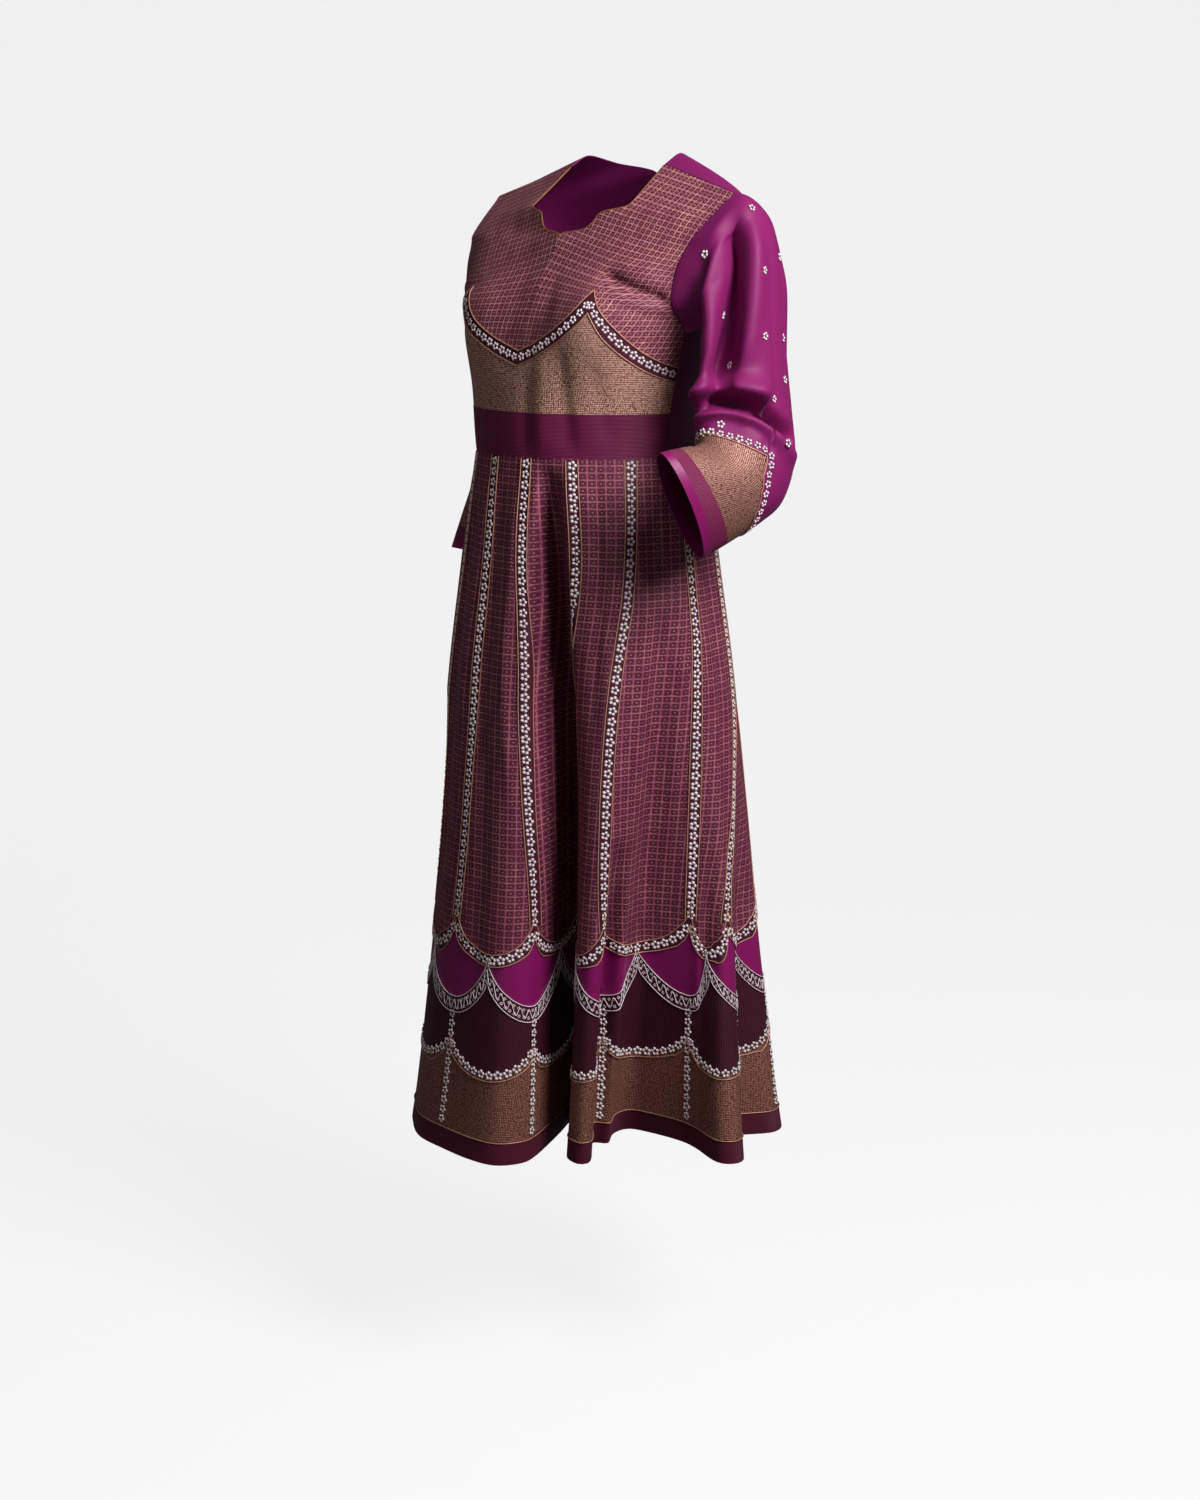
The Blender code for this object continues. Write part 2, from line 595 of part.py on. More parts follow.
# Sleeves
def armhole(side, count):
    front = [half_panel(FRONT, side, 1.0, r) for r in np.linspace(0.0, 9.0, 91)]
    rear = [half_panel(BACK, side, 1.0, r) for r in np.linspace(0.0, 7.0, 71)]
    edge = np.array(front + rear[::-1][1:])
    turn = np.arctan2(-(edge[:, 1] + 0.008), edge[:, 2] + 0.117)
    turn = np.unwrap(turn)
    at = np.arange(count) * 2 * math.pi / count
    at = np.where(at < turn[0], at + 2 * math.pi, at)
    turn = np.append(turn, turn[0] + 2 * math.pi)
    edge = np.vstack([edge, edge[:1]])
    ring = np.stack([np.interp(at, turn, edge[:, k]) for k in range(3)], axis=1)
    ring[:, 0] += side * 0.0012
    return ring


def sleeve_ring(table, side, w, count):
    cx, cy, cz, drop, face, p, q, fold = [smooth(table["w"], table[k], w) for k in
                                          ("cx", "cy", "cz", "drop", "face", "p", "q", "fold")]
    turn = math.radians(FOREARM_TURN["left" if side > 0 else "right"])
    low, tip = math.radians(drop), math.radians(face)
    facing = math.cos(tip) * np.array([side * math.cos(low), 0.0, -math.sin(low)])
    facing += math.sin(tip) * np.array([-side * math.sin(turn), -math.cos(turn), 0.0])
    facing /= np.linalg.norm(facing)
    outward = np.array([side * math.sin(low), 0.0, math.cos(low)])
    outward -= facing * outward.dot(facing)
    outward /= np.linalg.norm(outward)
    frontward = np.cross(facing, outward) * side
    pts = []
    for k in range(count):
        a = 2 * math.pi * k / count
        ripple = fold * math.sin(4 * a + 0.6 + 1.5 * w) * max(0.0, math.cos((a - 1.9) * 0.75))
        pts.append(np.array([cx, cy, cz]) + outward * (p + ripple) * math.cos(a)
                   + frontward * (q + ripple) * math.sin(a))
    return np.array(pts)


def sleeve_surface(table, side, w, hole):
    join = table["w"][0]
    count = len(hole)
    if w >= join:
        return sleeve_ring(table, side, w, count)
    first = sleeve_ring(table, side, join, count)
    nxt = sleeve_ring(table, side, join + 0.04, count)
    u = w / join
    reach = np.linalg.norm(first - hole, axis=1, keepdims=True)
    lead = first - nxt
    lead *= reach / np.linalg.norm(lead, axis=1, keepdims=True)
    h00 = 2 * u**3 - 3 * u**2 + 1
    h10 = u**3 - 2 * u**2 + u
    h01 = -2 * u**3 + 3 * u**2
    h11 = u**3 - u**2
    away = np.zeros_like(hole)
    away[:, 0] = side * reach[:, 0]
    return h00 * hole + h10 * away + h01 * first - h11 * lead


def sleeve_grid(table, side, lows, highs, rows):
    count = SLEEVE_COLUMNS
    hole = armhole(side, count)
    cache = np.array([sleeve_surface(table, side, w, hole) for w in np.linspace(0, 1, 101)])
    lean = grid_normals(cache, True)
    grid, normals = [], []
    for r in range(rows + 1):
        line, nline = [], []
        for k in range(count):
            w = lows(k / count) + (highs(k / count) - lows(k / count)) * r / rows
            f = min(99.999, max(0.0, w * 100))
            i = int(f)
            line.append(cache[i, k] + (cache[i + 1, k] - cache[i, k]) * (f - i))
            n = lean[i, k] + (lean[i + 1, k] - lean[i, k]) * (f - i)
            nline.append(n / np.linalg.norm(n))
        grid.append(line)
        normals.append(nline)
    return np.array(grid), np.array(normals) * -side


def cuff_top(share):
    away = abs(((share + 0.5) % 1.0) - 0.5) * 2.0
    return 1.0 - (CUFF_LONG + (CUFF_SHORT - CUFF_LONG) * away) / SLEEVE_LENGTH


g = SEAM_GAP / 2 / SLEEVE_LENGTH
w_edge = 1.0 - EDGE_BAND / SLEEVE_LENGTH
w_wine = 1.0 - (EDGE_BAND + WINE_BAND) / SLEEVE_LENGTH
for side, word, table in ((1, "left", SLEEVE_LEFT), (-1, "right", SLEEVE_RIGHT)):
    parts = (
        ("sleeve_", lambda s: g, lambda s: cuff_top(s) - g, 12, CREPE),
        ("cuff_", lambda s: cuff_top(s) + g, lambda s: w_wine - g, 2, BRONZE),
        ("cuff_band_", lambda s: w_wine + g, lambda s: w_edge - g, 1, WINE),
        ("cuff_edge_", lambda s: w_edge + g, lambda s: 1.0, 1, SATIN),
    )
    for stem, lo, hi, rows, colour in parts:
        grid, normals = sleeve_grid(table, side, lo, hi, rows)
        if side > 0:
            grid, normals = grid[:, ::-1], normals[:, ::-1]
        shell(stem + word, grid, colour, closed=True, normals=normals)
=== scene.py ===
"""Looks of a long dress with a fourteen-gore skirt, a panelled bodice and banded sleeves, as worn.

Metres, +Z up, the front faces -Y, the wearer's left is +X, the origin is at the neck between the
shoulders. Every piece is worked out here from sizes and short tables, in the frame of the solids.
"""
import math

import bpy
import numpy as np
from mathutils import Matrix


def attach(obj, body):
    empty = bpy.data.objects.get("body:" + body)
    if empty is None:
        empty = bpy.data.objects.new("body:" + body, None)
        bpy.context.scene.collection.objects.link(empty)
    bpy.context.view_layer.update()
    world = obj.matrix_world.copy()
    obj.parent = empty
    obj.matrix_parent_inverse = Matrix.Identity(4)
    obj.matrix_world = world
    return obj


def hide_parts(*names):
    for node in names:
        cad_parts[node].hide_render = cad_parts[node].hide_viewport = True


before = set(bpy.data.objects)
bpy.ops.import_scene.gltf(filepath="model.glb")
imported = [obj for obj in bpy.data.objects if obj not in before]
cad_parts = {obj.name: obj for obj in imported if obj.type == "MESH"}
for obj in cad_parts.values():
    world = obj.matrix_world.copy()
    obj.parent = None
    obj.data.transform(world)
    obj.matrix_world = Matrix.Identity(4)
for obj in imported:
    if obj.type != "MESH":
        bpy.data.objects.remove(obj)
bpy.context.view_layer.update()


# Skirt gores. Fourteen lined panels of square-patterned brocade, each ending in a rounded tongue over
# a satin band, a pintucked wine band and a bronze brocade band; sewn edge to edge from waist to hem.
GORES = 14
GORE_ANGLE = 2 * math.pi / GORES
WAIST_Z = -0.336
HEM_Z = -1.180
HEM_BAND_TOP = -1.152
CLOTH = 0.0011
WEAVE_STEP = 0.3                    # metres of cloth between the cuts of two gores, so that no two match
CENTRE = {
    "z": (0.01, -0.09, -0.2, -0.336, -0.7, -1.2),
    "x": (0.0, -0.002, -0.009, -0.015, -0.014, -0.012),
    "y": (0.0, -0.01, -0.027, -0.037, -0.036, -0.032),
}
ENVELOPE = {
    "z": (-0.336, -0.4, -0.474, -0.592, -0.712, -0.837, -0.975, -1.118, -1.18),
    "a": (0.145, 0.1535, 0.162, 0.176, 0.187, 0.1975, 0.21, 0.226, 0.234),
    "b": (0.13, 0.139, 0.149, 0.167, 0.18, 0.193, 0.208, 0.225, 0.234),
}
# Fold points at the hem: angle from the centre front toward the wearer's left, radius, level where
# the fold begins (0 waist, 1 hem)
FOLDS = (
    (-38.0, 0.232, 0.3), (-26.0, 0.232, 0.2), (-13.0, 0.222, 0.1), (0.0, 0.219, 0.1), (10.0, 0.214, 0.06),
    (17.0, 0.186, 0.04), (17.5, 0.142, 0.04), (14.5, 0.104, 0.04), (20.0, 0.086, 0.04),
    (29.5, 0.09, 0.04), (30.5, 0.124, 0.06), (31.0, 0.154, 0.1), (37.5, 0.174, 0.12), (43.5, 0.163, 0.15),
    (48.0, 0.142, 0.15), (53.0, 0.104, 0.2), (61.0, 0.074, 0.2), (80.0, 0.066, 0.2), (89.0, 0.088, 0.2),
    (91.5, 0.152, 0.25), (85.5, 0.218, 0.3), (88.5, 0.24, 0.35), (94.0, 0.235, 0.35), (103.5, 0.196, 0.4),
    (110.0, 0.19, 0.4), (118.0, 0.232, 0.35), (127.0, 0.233, 0.35), (133.0, 0.19, 0.3),
    (141.0, 0.126, 0.3), (151.0, 0.132, 0.3), (157.0, 0.196, 0.3), (164.0, 0.236, 0.25),
    (173.0, 0.228, 0.25), (179.0, 0.18, 0.2), (184.0, 0.118, 0.2), (193.0, 0.112, 0.2),
    (201.0, 0.17, 0.25), (207.0, 0.228, 0.25), (218.0, 0.235, 0.3), (227.0, 0.192, 0.35),
    (234.0, 0.142, 0.35), (242.0, 0.146, 0.35), (249.0, 0.196, 0.3), (256.0, 0.235, 0.3),
    (266.0, 0.232, 0.3), (274.0, 0.188, 0.35), (281.0, 0.138, 0.35), (291.0, 0.14, 0.35),
    (300.0, 0.194, 0.35), (310.0, 0.23, 0.35),
)
FOLD_GROWTH = 1.15                  # how the folds deepen from where they begin to the hem
SIDE_SEAM_ROW = 19                  # the fold point on the seam at the wearer's left side
CURVE_STEPS = 8                     # places on the fold curve from one point to the next
SKIRT_ROWS, SKIRT_COLUMNS = 212, 1120
# Soft creases on top of the folds: angle at the top and at the bottom, height of both ends, half
# width in degrees, depth (ridges positive)
SKIRT_CREASES = (
    (-30.0, -33.0, -0.35, -0.9, 3.0, -0.004), (-18.0, -20.0, -0.34, -0.7, 2.5, 0.003),
    (-6.0, -4.0, -0.345, -1.0, 3.5, -0.0036), (4.0, 8.0, -0.34, -0.76, 2.6, 0.0032),
    (22.0, 26.0, -0.338, -0.64, 3.0, -0.004), (31.0, 36.0, -0.338, -0.6, 2.6, 0.0026),
    (46.0, 46.0, -0.34, -0.7, 3.4, -0.0044), (58.0, 56.0, -0.338, -0.56, 3.0, 0.0034),
    (72.0, 74.0, -0.338, -0.9, 3.6, -0.0042), (84.0, 82.0, -0.345, -0.8, 2.8, 0.0032),
    (104.0, 104.0, -0.35, -0.9, 3.0, -0.004), (136.0, 140.0, -0.34, -0.7, 3.4, -0.0044),
    (162.0, 166.0, -0.338, -0.8, 3.0, 0.0034), (187.0, 184.0, -0.338, -0.76, 3.6, -0.003),
    (214.0, 218.0, -0.34, -0.86, 3.0, 0.0032), (236.0, 238.0, -0.338, -0.7, 3.4, -0.0044),
    (262.0, 262.0, -0.345, -0.82, 3.0, 0.0034), (285.0, 288.0, -0.34, -0.72, 3.4, -0.0042),
    (308.0, 310.0, -0.338, -0.9, 2.6, 0.003),
)
CREASE_FADE = 0.09
# Deep pockets between the folds: angle where each starts, is deepest and ends, first at its top and
# then where it is full, both heights, depth, and how far it runs in under the next fold (metres)
SKIRT_POCKETS = (
    ((14.0, 20.0, 32.0), (15.0, 28.5, 37.0), -0.345, -0.62, 0.072, 0.022),
    ((52.5, 59.0, 66.0), (52.5, 59.0, 66.0), -0.78, -1.0, 0.034, -0.016),
    ((92.0, 97.0, 101.0), (92.0, 97.0, 102.0), -0.8, -0.96, 0.01, -0.004),
)
VIEW_TURN = math.radians(44)        # turn of the main view from the front; the pockets run in along it
SQUARES_BOTTOM = (-0.885, -0.047)   # tongue of squares: height at the seams, further drop at the middle
LATTICE_TOP = (-0.930, -0.058)      # lattice: height of the peak at the middle, drop to the seams
LATTICE_HIGH = (0.027, 0.019)       # its height at the peak and at the seams
WINE_BOTTOM = (-1.030, -0.042)      # wine band: height at the seams, further drop at the middle
SATIN_TUCK = 0.010                  # how far the satin's lower edge lies under the lattice


def smooth(xs, ys, x):
    """A smooth curve through the points xs, ys that doesn't overshoot them, read at x."""
    xs, ys, x = np.asarray(xs, float), np.asarray(ys, float), np.asarray(x, float)
    sec = np.diff(ys) / np.diff(xs)
    slope = np.concatenate([sec[:1], (ys[2:] - ys[:-2]) / (xs[2:] - xs[:-2]), sec[-1:]])
    limit = 3 * np.minimum(abs(sec[:-1]), abs(sec[1:]))
    slope[1:-1] = np.where(sec[:-1] * sec[1:] <= 0, 0.0, np.clip(slope[1:-1], -limit, limit))
    sign = 1.0 if xs[-1] > xs[0] else -1.0
    k = np.clip(np.searchsorted(xs * sign, x * sign) - 1, 0, len(xs) - 2)
    h = xs[k + 1] - xs[k]
    u = np.clip((x - xs[k]) / h, 0, 1)
    return ((2 * u**3 - 3 * u**2 + 1) * ys[k] + (u**3 - 2 * u**2 + u) * h * slope[k]
            + (3 * u**2 - 2 * u**3) * ys[k + 1] + (u**3 - u**2) * h * slope[k + 1])


def ease(x):
    """A soft step from 0 to 1 while x goes from 0 to 1."""
    x = np.clip(x, 0, 1)
    return x * x * (3 - 2 * x)


def window(x, start, end, fade):
    """1 between start and end, with a soft step of length fade inside each."""
    return ease((x - start) / fade) * ease((end - x) / fade)


def centre(z):
    """The x and y of the middle line of the body at heights."""
    return smooth(CENTRE["z"], CENTRE["x"], z), smooth(CENTRE["z"], CENTRE["y"], z)


def envelope_points(angles, z):
    x, y = centre(z)
    return np.stack([x + smooth(ENVELOPE["z"], ENVELOPE["a"], z) * np.sin(angles),
                     y - smooth(ENVELOPE["z"], ENVELOPE["b"], z) * np.cos(angles)], axis=-1)


def closed_curve(points):
    """A rounded closed curve through points."""
    p0, p1 = np.roll(points, 1, axis=0), points
    p2, p3 = np.roll(points, -1, axis=0), np.roll(points, -2, axis=0)
    u = (np.arange(CURVE_STEPS) / CURVE_STEPS)[None, :, None]
    p0, p1, p2, p3 = (p[:, None] for p in (p0, p1, p2, p3))
    curve = 0.5 * (2 * p1 + (p2 - p0) * u + (2 * p0 - 5 * p1 + 4 * p2 - p3) * u * u
                   + (3 * p1 - p0 - 3 * p2 + p3) * u**3)
    return curve.reshape(-1, 2)


def curve_angles(curve):
    """Angles shared out by the cloth round the curve, 90 degrees at the side seam, and its length."""
    seg = np.linalg.norm(np.roll(curve, -1, axis=0) - curve, axis=1)
    run = np.concatenate([[0.0], np.cumsum(seg)])
    share = run[:-1] / run[-1]
    return math.pi / 2 + 2 * math.pi * (share - share[SIDE_SEAM_ROW * CURVE_STEPS]), run[-1]


hem_angle, hem_radius, fold_start = np.array(FOLDS).T
hem_angle = np.radians(hem_angle)
HEM = np.stack([hem_radius * np.sin(hem_angle), -hem_radius * np.cos(hem_angle)], axis=1)
HEM = np.array(centre(HEM_Z)) + HEM
HEM_ANGLES = curve_angles(closed_curve(HEM))[0][::CURVE_STEPS]
LEVELS = np.linspace(WAIST_Z, HEM_Z, SKIRT_ROWS)
TURNS = 2 * math.pi * np.arange(SKIRT_COLUMNS) / SKIRT_COLUMNS


def skirt_table():
    """Points of the skirt's outer face by rows and columns, and its length round at each row."""
    table, rounds = [], []
    shift = HEM - envelope_points(HEM_ANGLES, HEM_Z)
    for z in LEVELS:
        level = (WAIST_Z - z) / (WAIST_Z - HEM_Z)
        grow = np.clip((level - fold_start) / (1 - fold_start), 0, None)**FOLD_GROWTH
        curve = closed_curve(envelope_points(HEM_ANGLES, z) + shift * grow[:, None])
        angle, around = curve_angles(curve)
        angle = np.concatenate([angle - 2 * math.pi, angle, angle + 2 * math.pi])
        table.append(np.stack([np.interp(TURNS, angle, np.tile(curve[:, 0], 3)),
                               np.interp(TURNS, angle, np.tile(curve[:, 1], 3)),
                               np.full(len(TURNS), z)], axis=1))
        rounds.append(around)
    return np.array(table), np.array(rounds)


def table_normals(table):
    """Outward directions on a table of points that is closed round its columns."""
    across = np.roll(table, -1, axis=1) - np.roll(table, 1, axis=1)
    n = np.cross(across, -np.gradient(table, axis=0))
    return n / np.maximum(np.linalg.norm(n, axis=2, keepdims=True), 1e-9)


SKIRT, SKIRT_ROUND = skirt_table()
crease = np.zeros(SKIRT.shape[:2])
for top, low, z0, z1, wide, deep in SKIRT_CREASES:
    down = np.clip((z0 - LEVELS) / (z0 - z1), 0, 1)
    off = np.degrees(TURNS)[None] - (top + (low - top) * down)[:, None]
    off = (off + 180) % 360 - 180
    crease += deep * np.exp(-(off / wide)**2) * window(-LEVELS, -z0 - 0.004, -z1, CREASE_FADE)[:, None]
SKIRT = SKIRT + table_normals(SKIRT) * crease[..., None]
inward = np.array([-math.sin(VIEW_TURN), math.cos(VIEW_TURN), 0.0])
sideways = np.array([math.cos(VIEW_TURN), math.sin(VIEW_TURN), 0.0])
for top, low, z0, z1, deep, under in SKIRT_POCKETS:
    at = ((np.degrees(TURNS) + 180) % 360 - 180)[None]
    grow = np.clip((z0 - LEVELS) / (z0 - z1), 0, 1)[:, None]
    start, deepest, stop = (a + (b - a) * grow for a, b in zip(top, low))
    share = ease((at - start) / (deepest - start)) * ease((stop - at) / (stop - deepest))
    share = share * (grow * (2 - grow))
    SKIRT = SKIRT + share[..., None] * (inward * deep + sideways * under)
SKIRT_LEAN = table_normals(SKIRT)


def on_surface(tables, share, level, lift):
    """Points and outward directions at shares of the way round and down a tube of cloth, raised by lift."""
    share, level = np.broadcast_arrays(np.asarray(share, float), np.asarray(level, float))
    rows, columns = tables[0].shape[:2]
    r = np.clip(level, 0, 1) * (rows - 1)
    c = (share % 1.0) * columns
    r0, c0 = np.minimum(r.astype(int), rows - 2), c.astype(int) % columns
    c1, fr, fc = (c0 + 1) % columns, (r - r0)[..., None], (c - c.astype(int))[..., None]
    points, lean = ((m[r0, c0] * (1 - fc) + m[r0, c1] * fc) * (1 - fr)
                    + (m[r0 + 1, c0] * (1 - fc) + m[r0 + 1, c1] * fc) * fr for m in tables)
    lean = lean / np.linalg.norm(lean, axis=-1, keepdims=True)
    return points + lean * lift, lean


def skirt(angle, z, lift=0.0):
    """Points and outward directions on the skirt at angles and heights, raised by lift."""
    level = (WAIST_Z - np.asarray(z, float)) / (WAIST_Z - HEM_Z)
    return on_surface((SKIRT, SKIRT_LEAN), np.asarray(angle, float) / (2 * math.pi), level, lift)


def skirt_metres(z):
    """Metres of cloth to one radian round the skirt at a height."""
    return np.interp(-np.asarray(z, float), -LEVELS, SKIRT_ROUND) / (2 * math.pi)


# How far each gore's left-hand seam hangs from its even place, in degrees, at heights down the skirt
SEAM_SHIFT = {
    "z": (-0.336, -0.45, -0.6, -0.75, -0.89, -1.02, -1.18),
    13: (-0.6, 1.4, 2.6, -0.7, -1.8, 2.4, 5.0),
    0: (-4.0, -2.5, 2.6, 1.8, 3.0, 3.2, 3.6),
    1: (-5.2, -3.1, -7.5, -8.5, -9.0, -9.0, -9.0),
    2: (-2.5, -4.5, -9.8, -12.0, -10.6, -3.0, -2.5),
    4: (0.0, 0.0, 2.0, -5.0, -13.5, -3.0, 0.0),
    5: (0.0, 0.0, -2.0, -5.0, -9.0, -8.0, -8.0),
    6: (0.0, 0.0, -1.0, -3.0, -5.0, -5.0, -5.0),
    7: (0.0, 0.0, 0.0, -1.0, -2.0, -2.0, -2.0),
}


def seam_angle(k, z):
    even = (k + 0.5) * GORE_ANGLE + 0 * np.asarray(z, float)
    if k % GORES not in SEAM_SHIFT:
        return even
    return even + np.radians(smooth(SEAM_SHIFT["z"][::-1], SEAM_SHIFT[k % GORES][::-1], z))


def gore_angle(g, place, z):
    """Angle of a place across gore g, -1 at one seam and 1 at the next, at a height."""
    low, high = seam_angle(g - 1, z), seam_angle(g, z)
    return low + (high - low) * (place + 1) / 2


def tongue(edge, place):
    """Height of a rounded lower edge at a place across a gore."""
    return edge[0] + edge[1] * np.sqrt(np.clip(1 - place * place, 0, 1))


def lattice_top(place):
    a = np.clip(abs(place), 0, 1)
    bend = 0.5 * np.sin(a * math.pi / 2) + 0.5 * np.sqrt(np.clip(1 - (1 - a)**2, 0, 1))
    return LATTICE_TOP[0] + LATTICE_TOP[1] * bend


def lattice_bottom(place):
    high, low = LATTICE_HIGH
    return lattice_top(place) - high + (high - low) * np.clip(abs(place), 0, 1)**0.5


def colour(code):
    """Linear colour from an sRGB hex code."""
    parts = [int(code[i:i + 2], 16) / 255 for i in (1, 3, 5)]
    return tuple(p / 12.92 if p <= 0.04045 else ((p + 0.055) / 1.055)**2.4 for p in parts) + (1.0,)


def add(tree, kind, *given, **settings):
    """Adds one node with its settings and returns its first output. Its inputs are given in order, or in a
    dict by name or number, as values or as sockets to link. A kind in capitals is a Math operation."""
    if kind.isupper():
        kind, settings = "ShaderNodeMath", {"operation": kind, **settings}
    made = tree.nodes.new(kind)
    for key, value in settings.items():
        setattr(made, key, value)
    inputs = given[0] if given and isinstance(given[0], dict) else dict(enumerate(given))
    for key, source in inputs.items():
        if isinstance(source, bpy.types.NodeSocket):
            tree.links.new(source, made.inputs[key])
        else:
            made.inputs[key].default_value = source
    return next(socket for socket in made.outputs if socket.enabled)


def fabric(name, base, rough, sheen=0.0, metal=0.0):
    """A cloth or thread of one colour: its material, its node tree and its shader's inputs."""
    mat = bpy.data.materials.new(name)
    mat.use_nodes = True
    shader = mat.node_tree.nodes["Principled BSDF"].inputs
    for key, value in (("Base Color", colour(base)), ("Roughness", rough), ("Metallic", metal),
                       ("Sheen Weight", sheen), ("Sheen Roughness", 0.35), ("Sheen Tint", colour("#E8A0C8")),
                       ("Specular IOR Level", 0.3)):
        shader[key].default_value = value
    mat.diffuse_color = colour(base)
    return mat, mat.node_tree, shader


def cloth_place(tree):
    """Distance across and along the cut cloth, in millimetres, from the piece's UV map."""
    uv = add(tree, "ShaderNodeUVMap", uv_map="cut")
    parts = add(tree, "ShaderNodeSeparateXYZ", uv).node.outputs
    return add(tree, "MULTIPLY", parts[0], 1000.0), add(tree, "MULTIPLY", parts[1], 1000.0)


def flecks(tree, u, v, wide, high, seed):
    """Short threads of real size wide by high millimetres, 0 to 1."""
    across, along = add(tree, "DIVIDE", u, wide), add(tree, "DIVIDE", v, high)
    where = add(tree, "ShaderNodeCombineXYZ", across, along, seed)
    return add(tree, "ShaderNodeTexNoise", {"Vector": where, "Scale": 1.0, "Detail": 1.5, "Roughness": 0.6})


def below(tree, value, edge, soft):
    """1 below the edge, 0 above it, over a soft step."""
    return add(tree, "ShaderNodeMapRange", value, edge - soft, edge + soft, 1.0, 0.0,
               interpolation_type="SMOOTHSTEP")


def from_middle(tree, value, pitch):
    """Distance in millimetres from the middle of each repeat of a pattern."""
    repeat = add(tree, "FRACT", add(tree, "DIVIDE", value, pitch))
    return add(tree, "MULTIPLY", add(tree, "ABSOLUTE", add(tree, "SUBTRACT", repeat, 0.5)), pitch)


def woven(tree, shader, tint, raised, depth=0.0005):
    """The shader takes its colour from tint, and its raised threads catch the light."""
    tree.links.new(tint, shader["Base Color"])
    bump = add(tree, "ShaderNodeBump", {"Strength": 0.6, "Distance": depth, "Height": raised})
    tree.links.new(bump, shader["Normal"])


def squares(name, wide, high, line, ground, dark, thread, dots, along, across):
    """Brocade of light thread squares, wide by high millimetres, each with a dark ring round a light dot.
    Squares and threads are drawn a little coarser than the real ones so that they show; line is half a
    thread's width, and along, across and dots say how bright the threads are."""
    mat, tree, shader = fabric(name, ground, 0.6, sheen=0.06)
    u, v = cloth_place(tree)
    # The cloth is a little uneven, so its squares waver
    wave = flecks(tree, u, v, 9.0, 9.0, 3.0)
    dv = from_middle(tree, add(tree, "ADD", v, add(tree, "MULTIPLY", wave, 1.2)), high)
    du = from_middle(tree, add(tree, "ADD", u, add(tree, "MULTIPLY", wave, -1.0)), wide)
    weft = below(tree, add(tree, "SUBTRACT", high / 2, dv), line, 0.30)
    warp = below(tree, add(tree, "SUBTRACT", wide / 2, du), line, 0.30)
    away = add(tree, "SQRT", add(tree, "ADD", add(tree, "POWER", du, 2.0), add(tree, "POWER", dv, 2.0)))
    dot = below(tree, away, 0.95, 0.5)
    ring = add(tree, "MULTIPLY", below(tree, away, high * 0.42, 0.4), add(tree, "SUBTRACT", 1.0, dot))
    # Each thread shows as dashes 2 mm long, and less where the cloth is worn
    dash = add(tree, "ShaderNodeMapRange", flecks(tree, u, v, 2.2, 0.7, 11.0), 0.36, 0.62)
    down = add(tree, "ShaderNodeMapRange", flecks(tree, u, v, 0.7, 2.4, 5.0), 0.38, 0.66)
    weft = add(tree, "MULTIPLY", weft, add(tree, "MULTIPLY_ADD", dash, across, 0.06))
    warp = add(tree, "MULTIPLY", warp, add(tree, "MULTIPLY_ADD", down, along, 0.06))
    dot = add(tree, "MULTIPLY", dot, add(tree, "MULTIPLY_ADD", dash, dots * 0.6, dots * 0.2))
    loose = add(tree, "MULTIPLY", add(tree, "MULTIPLY", dash, down), 0.18)
    light = add(tree, "MAXIMUM", add(tree, "MAXIMUM", weft, warp), add(tree, "MAXIMUM", dot, loose))
    worn = add(tree, "ShaderNodeMapRange", flecks(tree, u, v, 16.0, 34.0, 8.0), 0.35, 0.65, 0.6, 1.15)
    light = add(tree, "MULTIPLY", light, worn, use_clamp=True)
    tree.links.new(add(tree, "MULTIPLY", light, 0.15), shader["Metallic"])
    shade = add(tree, "MULTIPLY", ring, 0.62)
    tint = add(tree, "ShaderNodeMix", {0: shade, 6: colour(ground), 7: colour(dark)}, data_type="RGBA")
    tint = add(tree, "ShaderNodeMix", {0: light, 6: tint, 7: colour(thread)}, data_type="RGBA")
    woven(tree, shader, tint, light)
    return mat


def bronze(name, low, middle, high):
    """Brocade all over of short bronze threads laid both ways on wine. Real threads lie about 0.5 mm
    apart; they are drawn wider apart so that they show."""
    pitch = 2.1
    mat, tree, shader = fabric(name, middle, 0.55, sheen=0.05)
    u, v = cloth_place(tree)
    rows = []
    for along, across, seed in ((u, v, 2.0), (v, u, 7.0)):
        repeat = add(tree, "FRACT", add(tree, "DIVIDE", across, pitch))
        thread = add(tree, "ABSOLUTE", add(tree, "SUBTRACT", repeat, 0.5))
        dash = flecks(tree, along, across, 3.6, 1.0, seed)
        rows.append(add(tree, "MULTIPLY", dash, add(tree, "MULTIPLY_ADD", thread, 1.1, 0.45)))
    mixed = add(tree, "MULTIPLY", add(tree, "ADD", *rows), 0.64)
    shown = add(tree, "ShaderNodeValToRGB", mixed)
    ramp = shown.node.color_ramp.elements
    for stop, at, code in ((ramp[0], 0.37, low), (ramp[1], 0.54, high)):
        stop.position = at
        stop.color = colour(code)
    ramp.new(0.45).color = colour(middle)
    tree.links.new(add(tree, "MULTIPLY", mixed, 0.5), shader["Metallic"])
    woven(tree, shader, shown, mixed)
    return mat


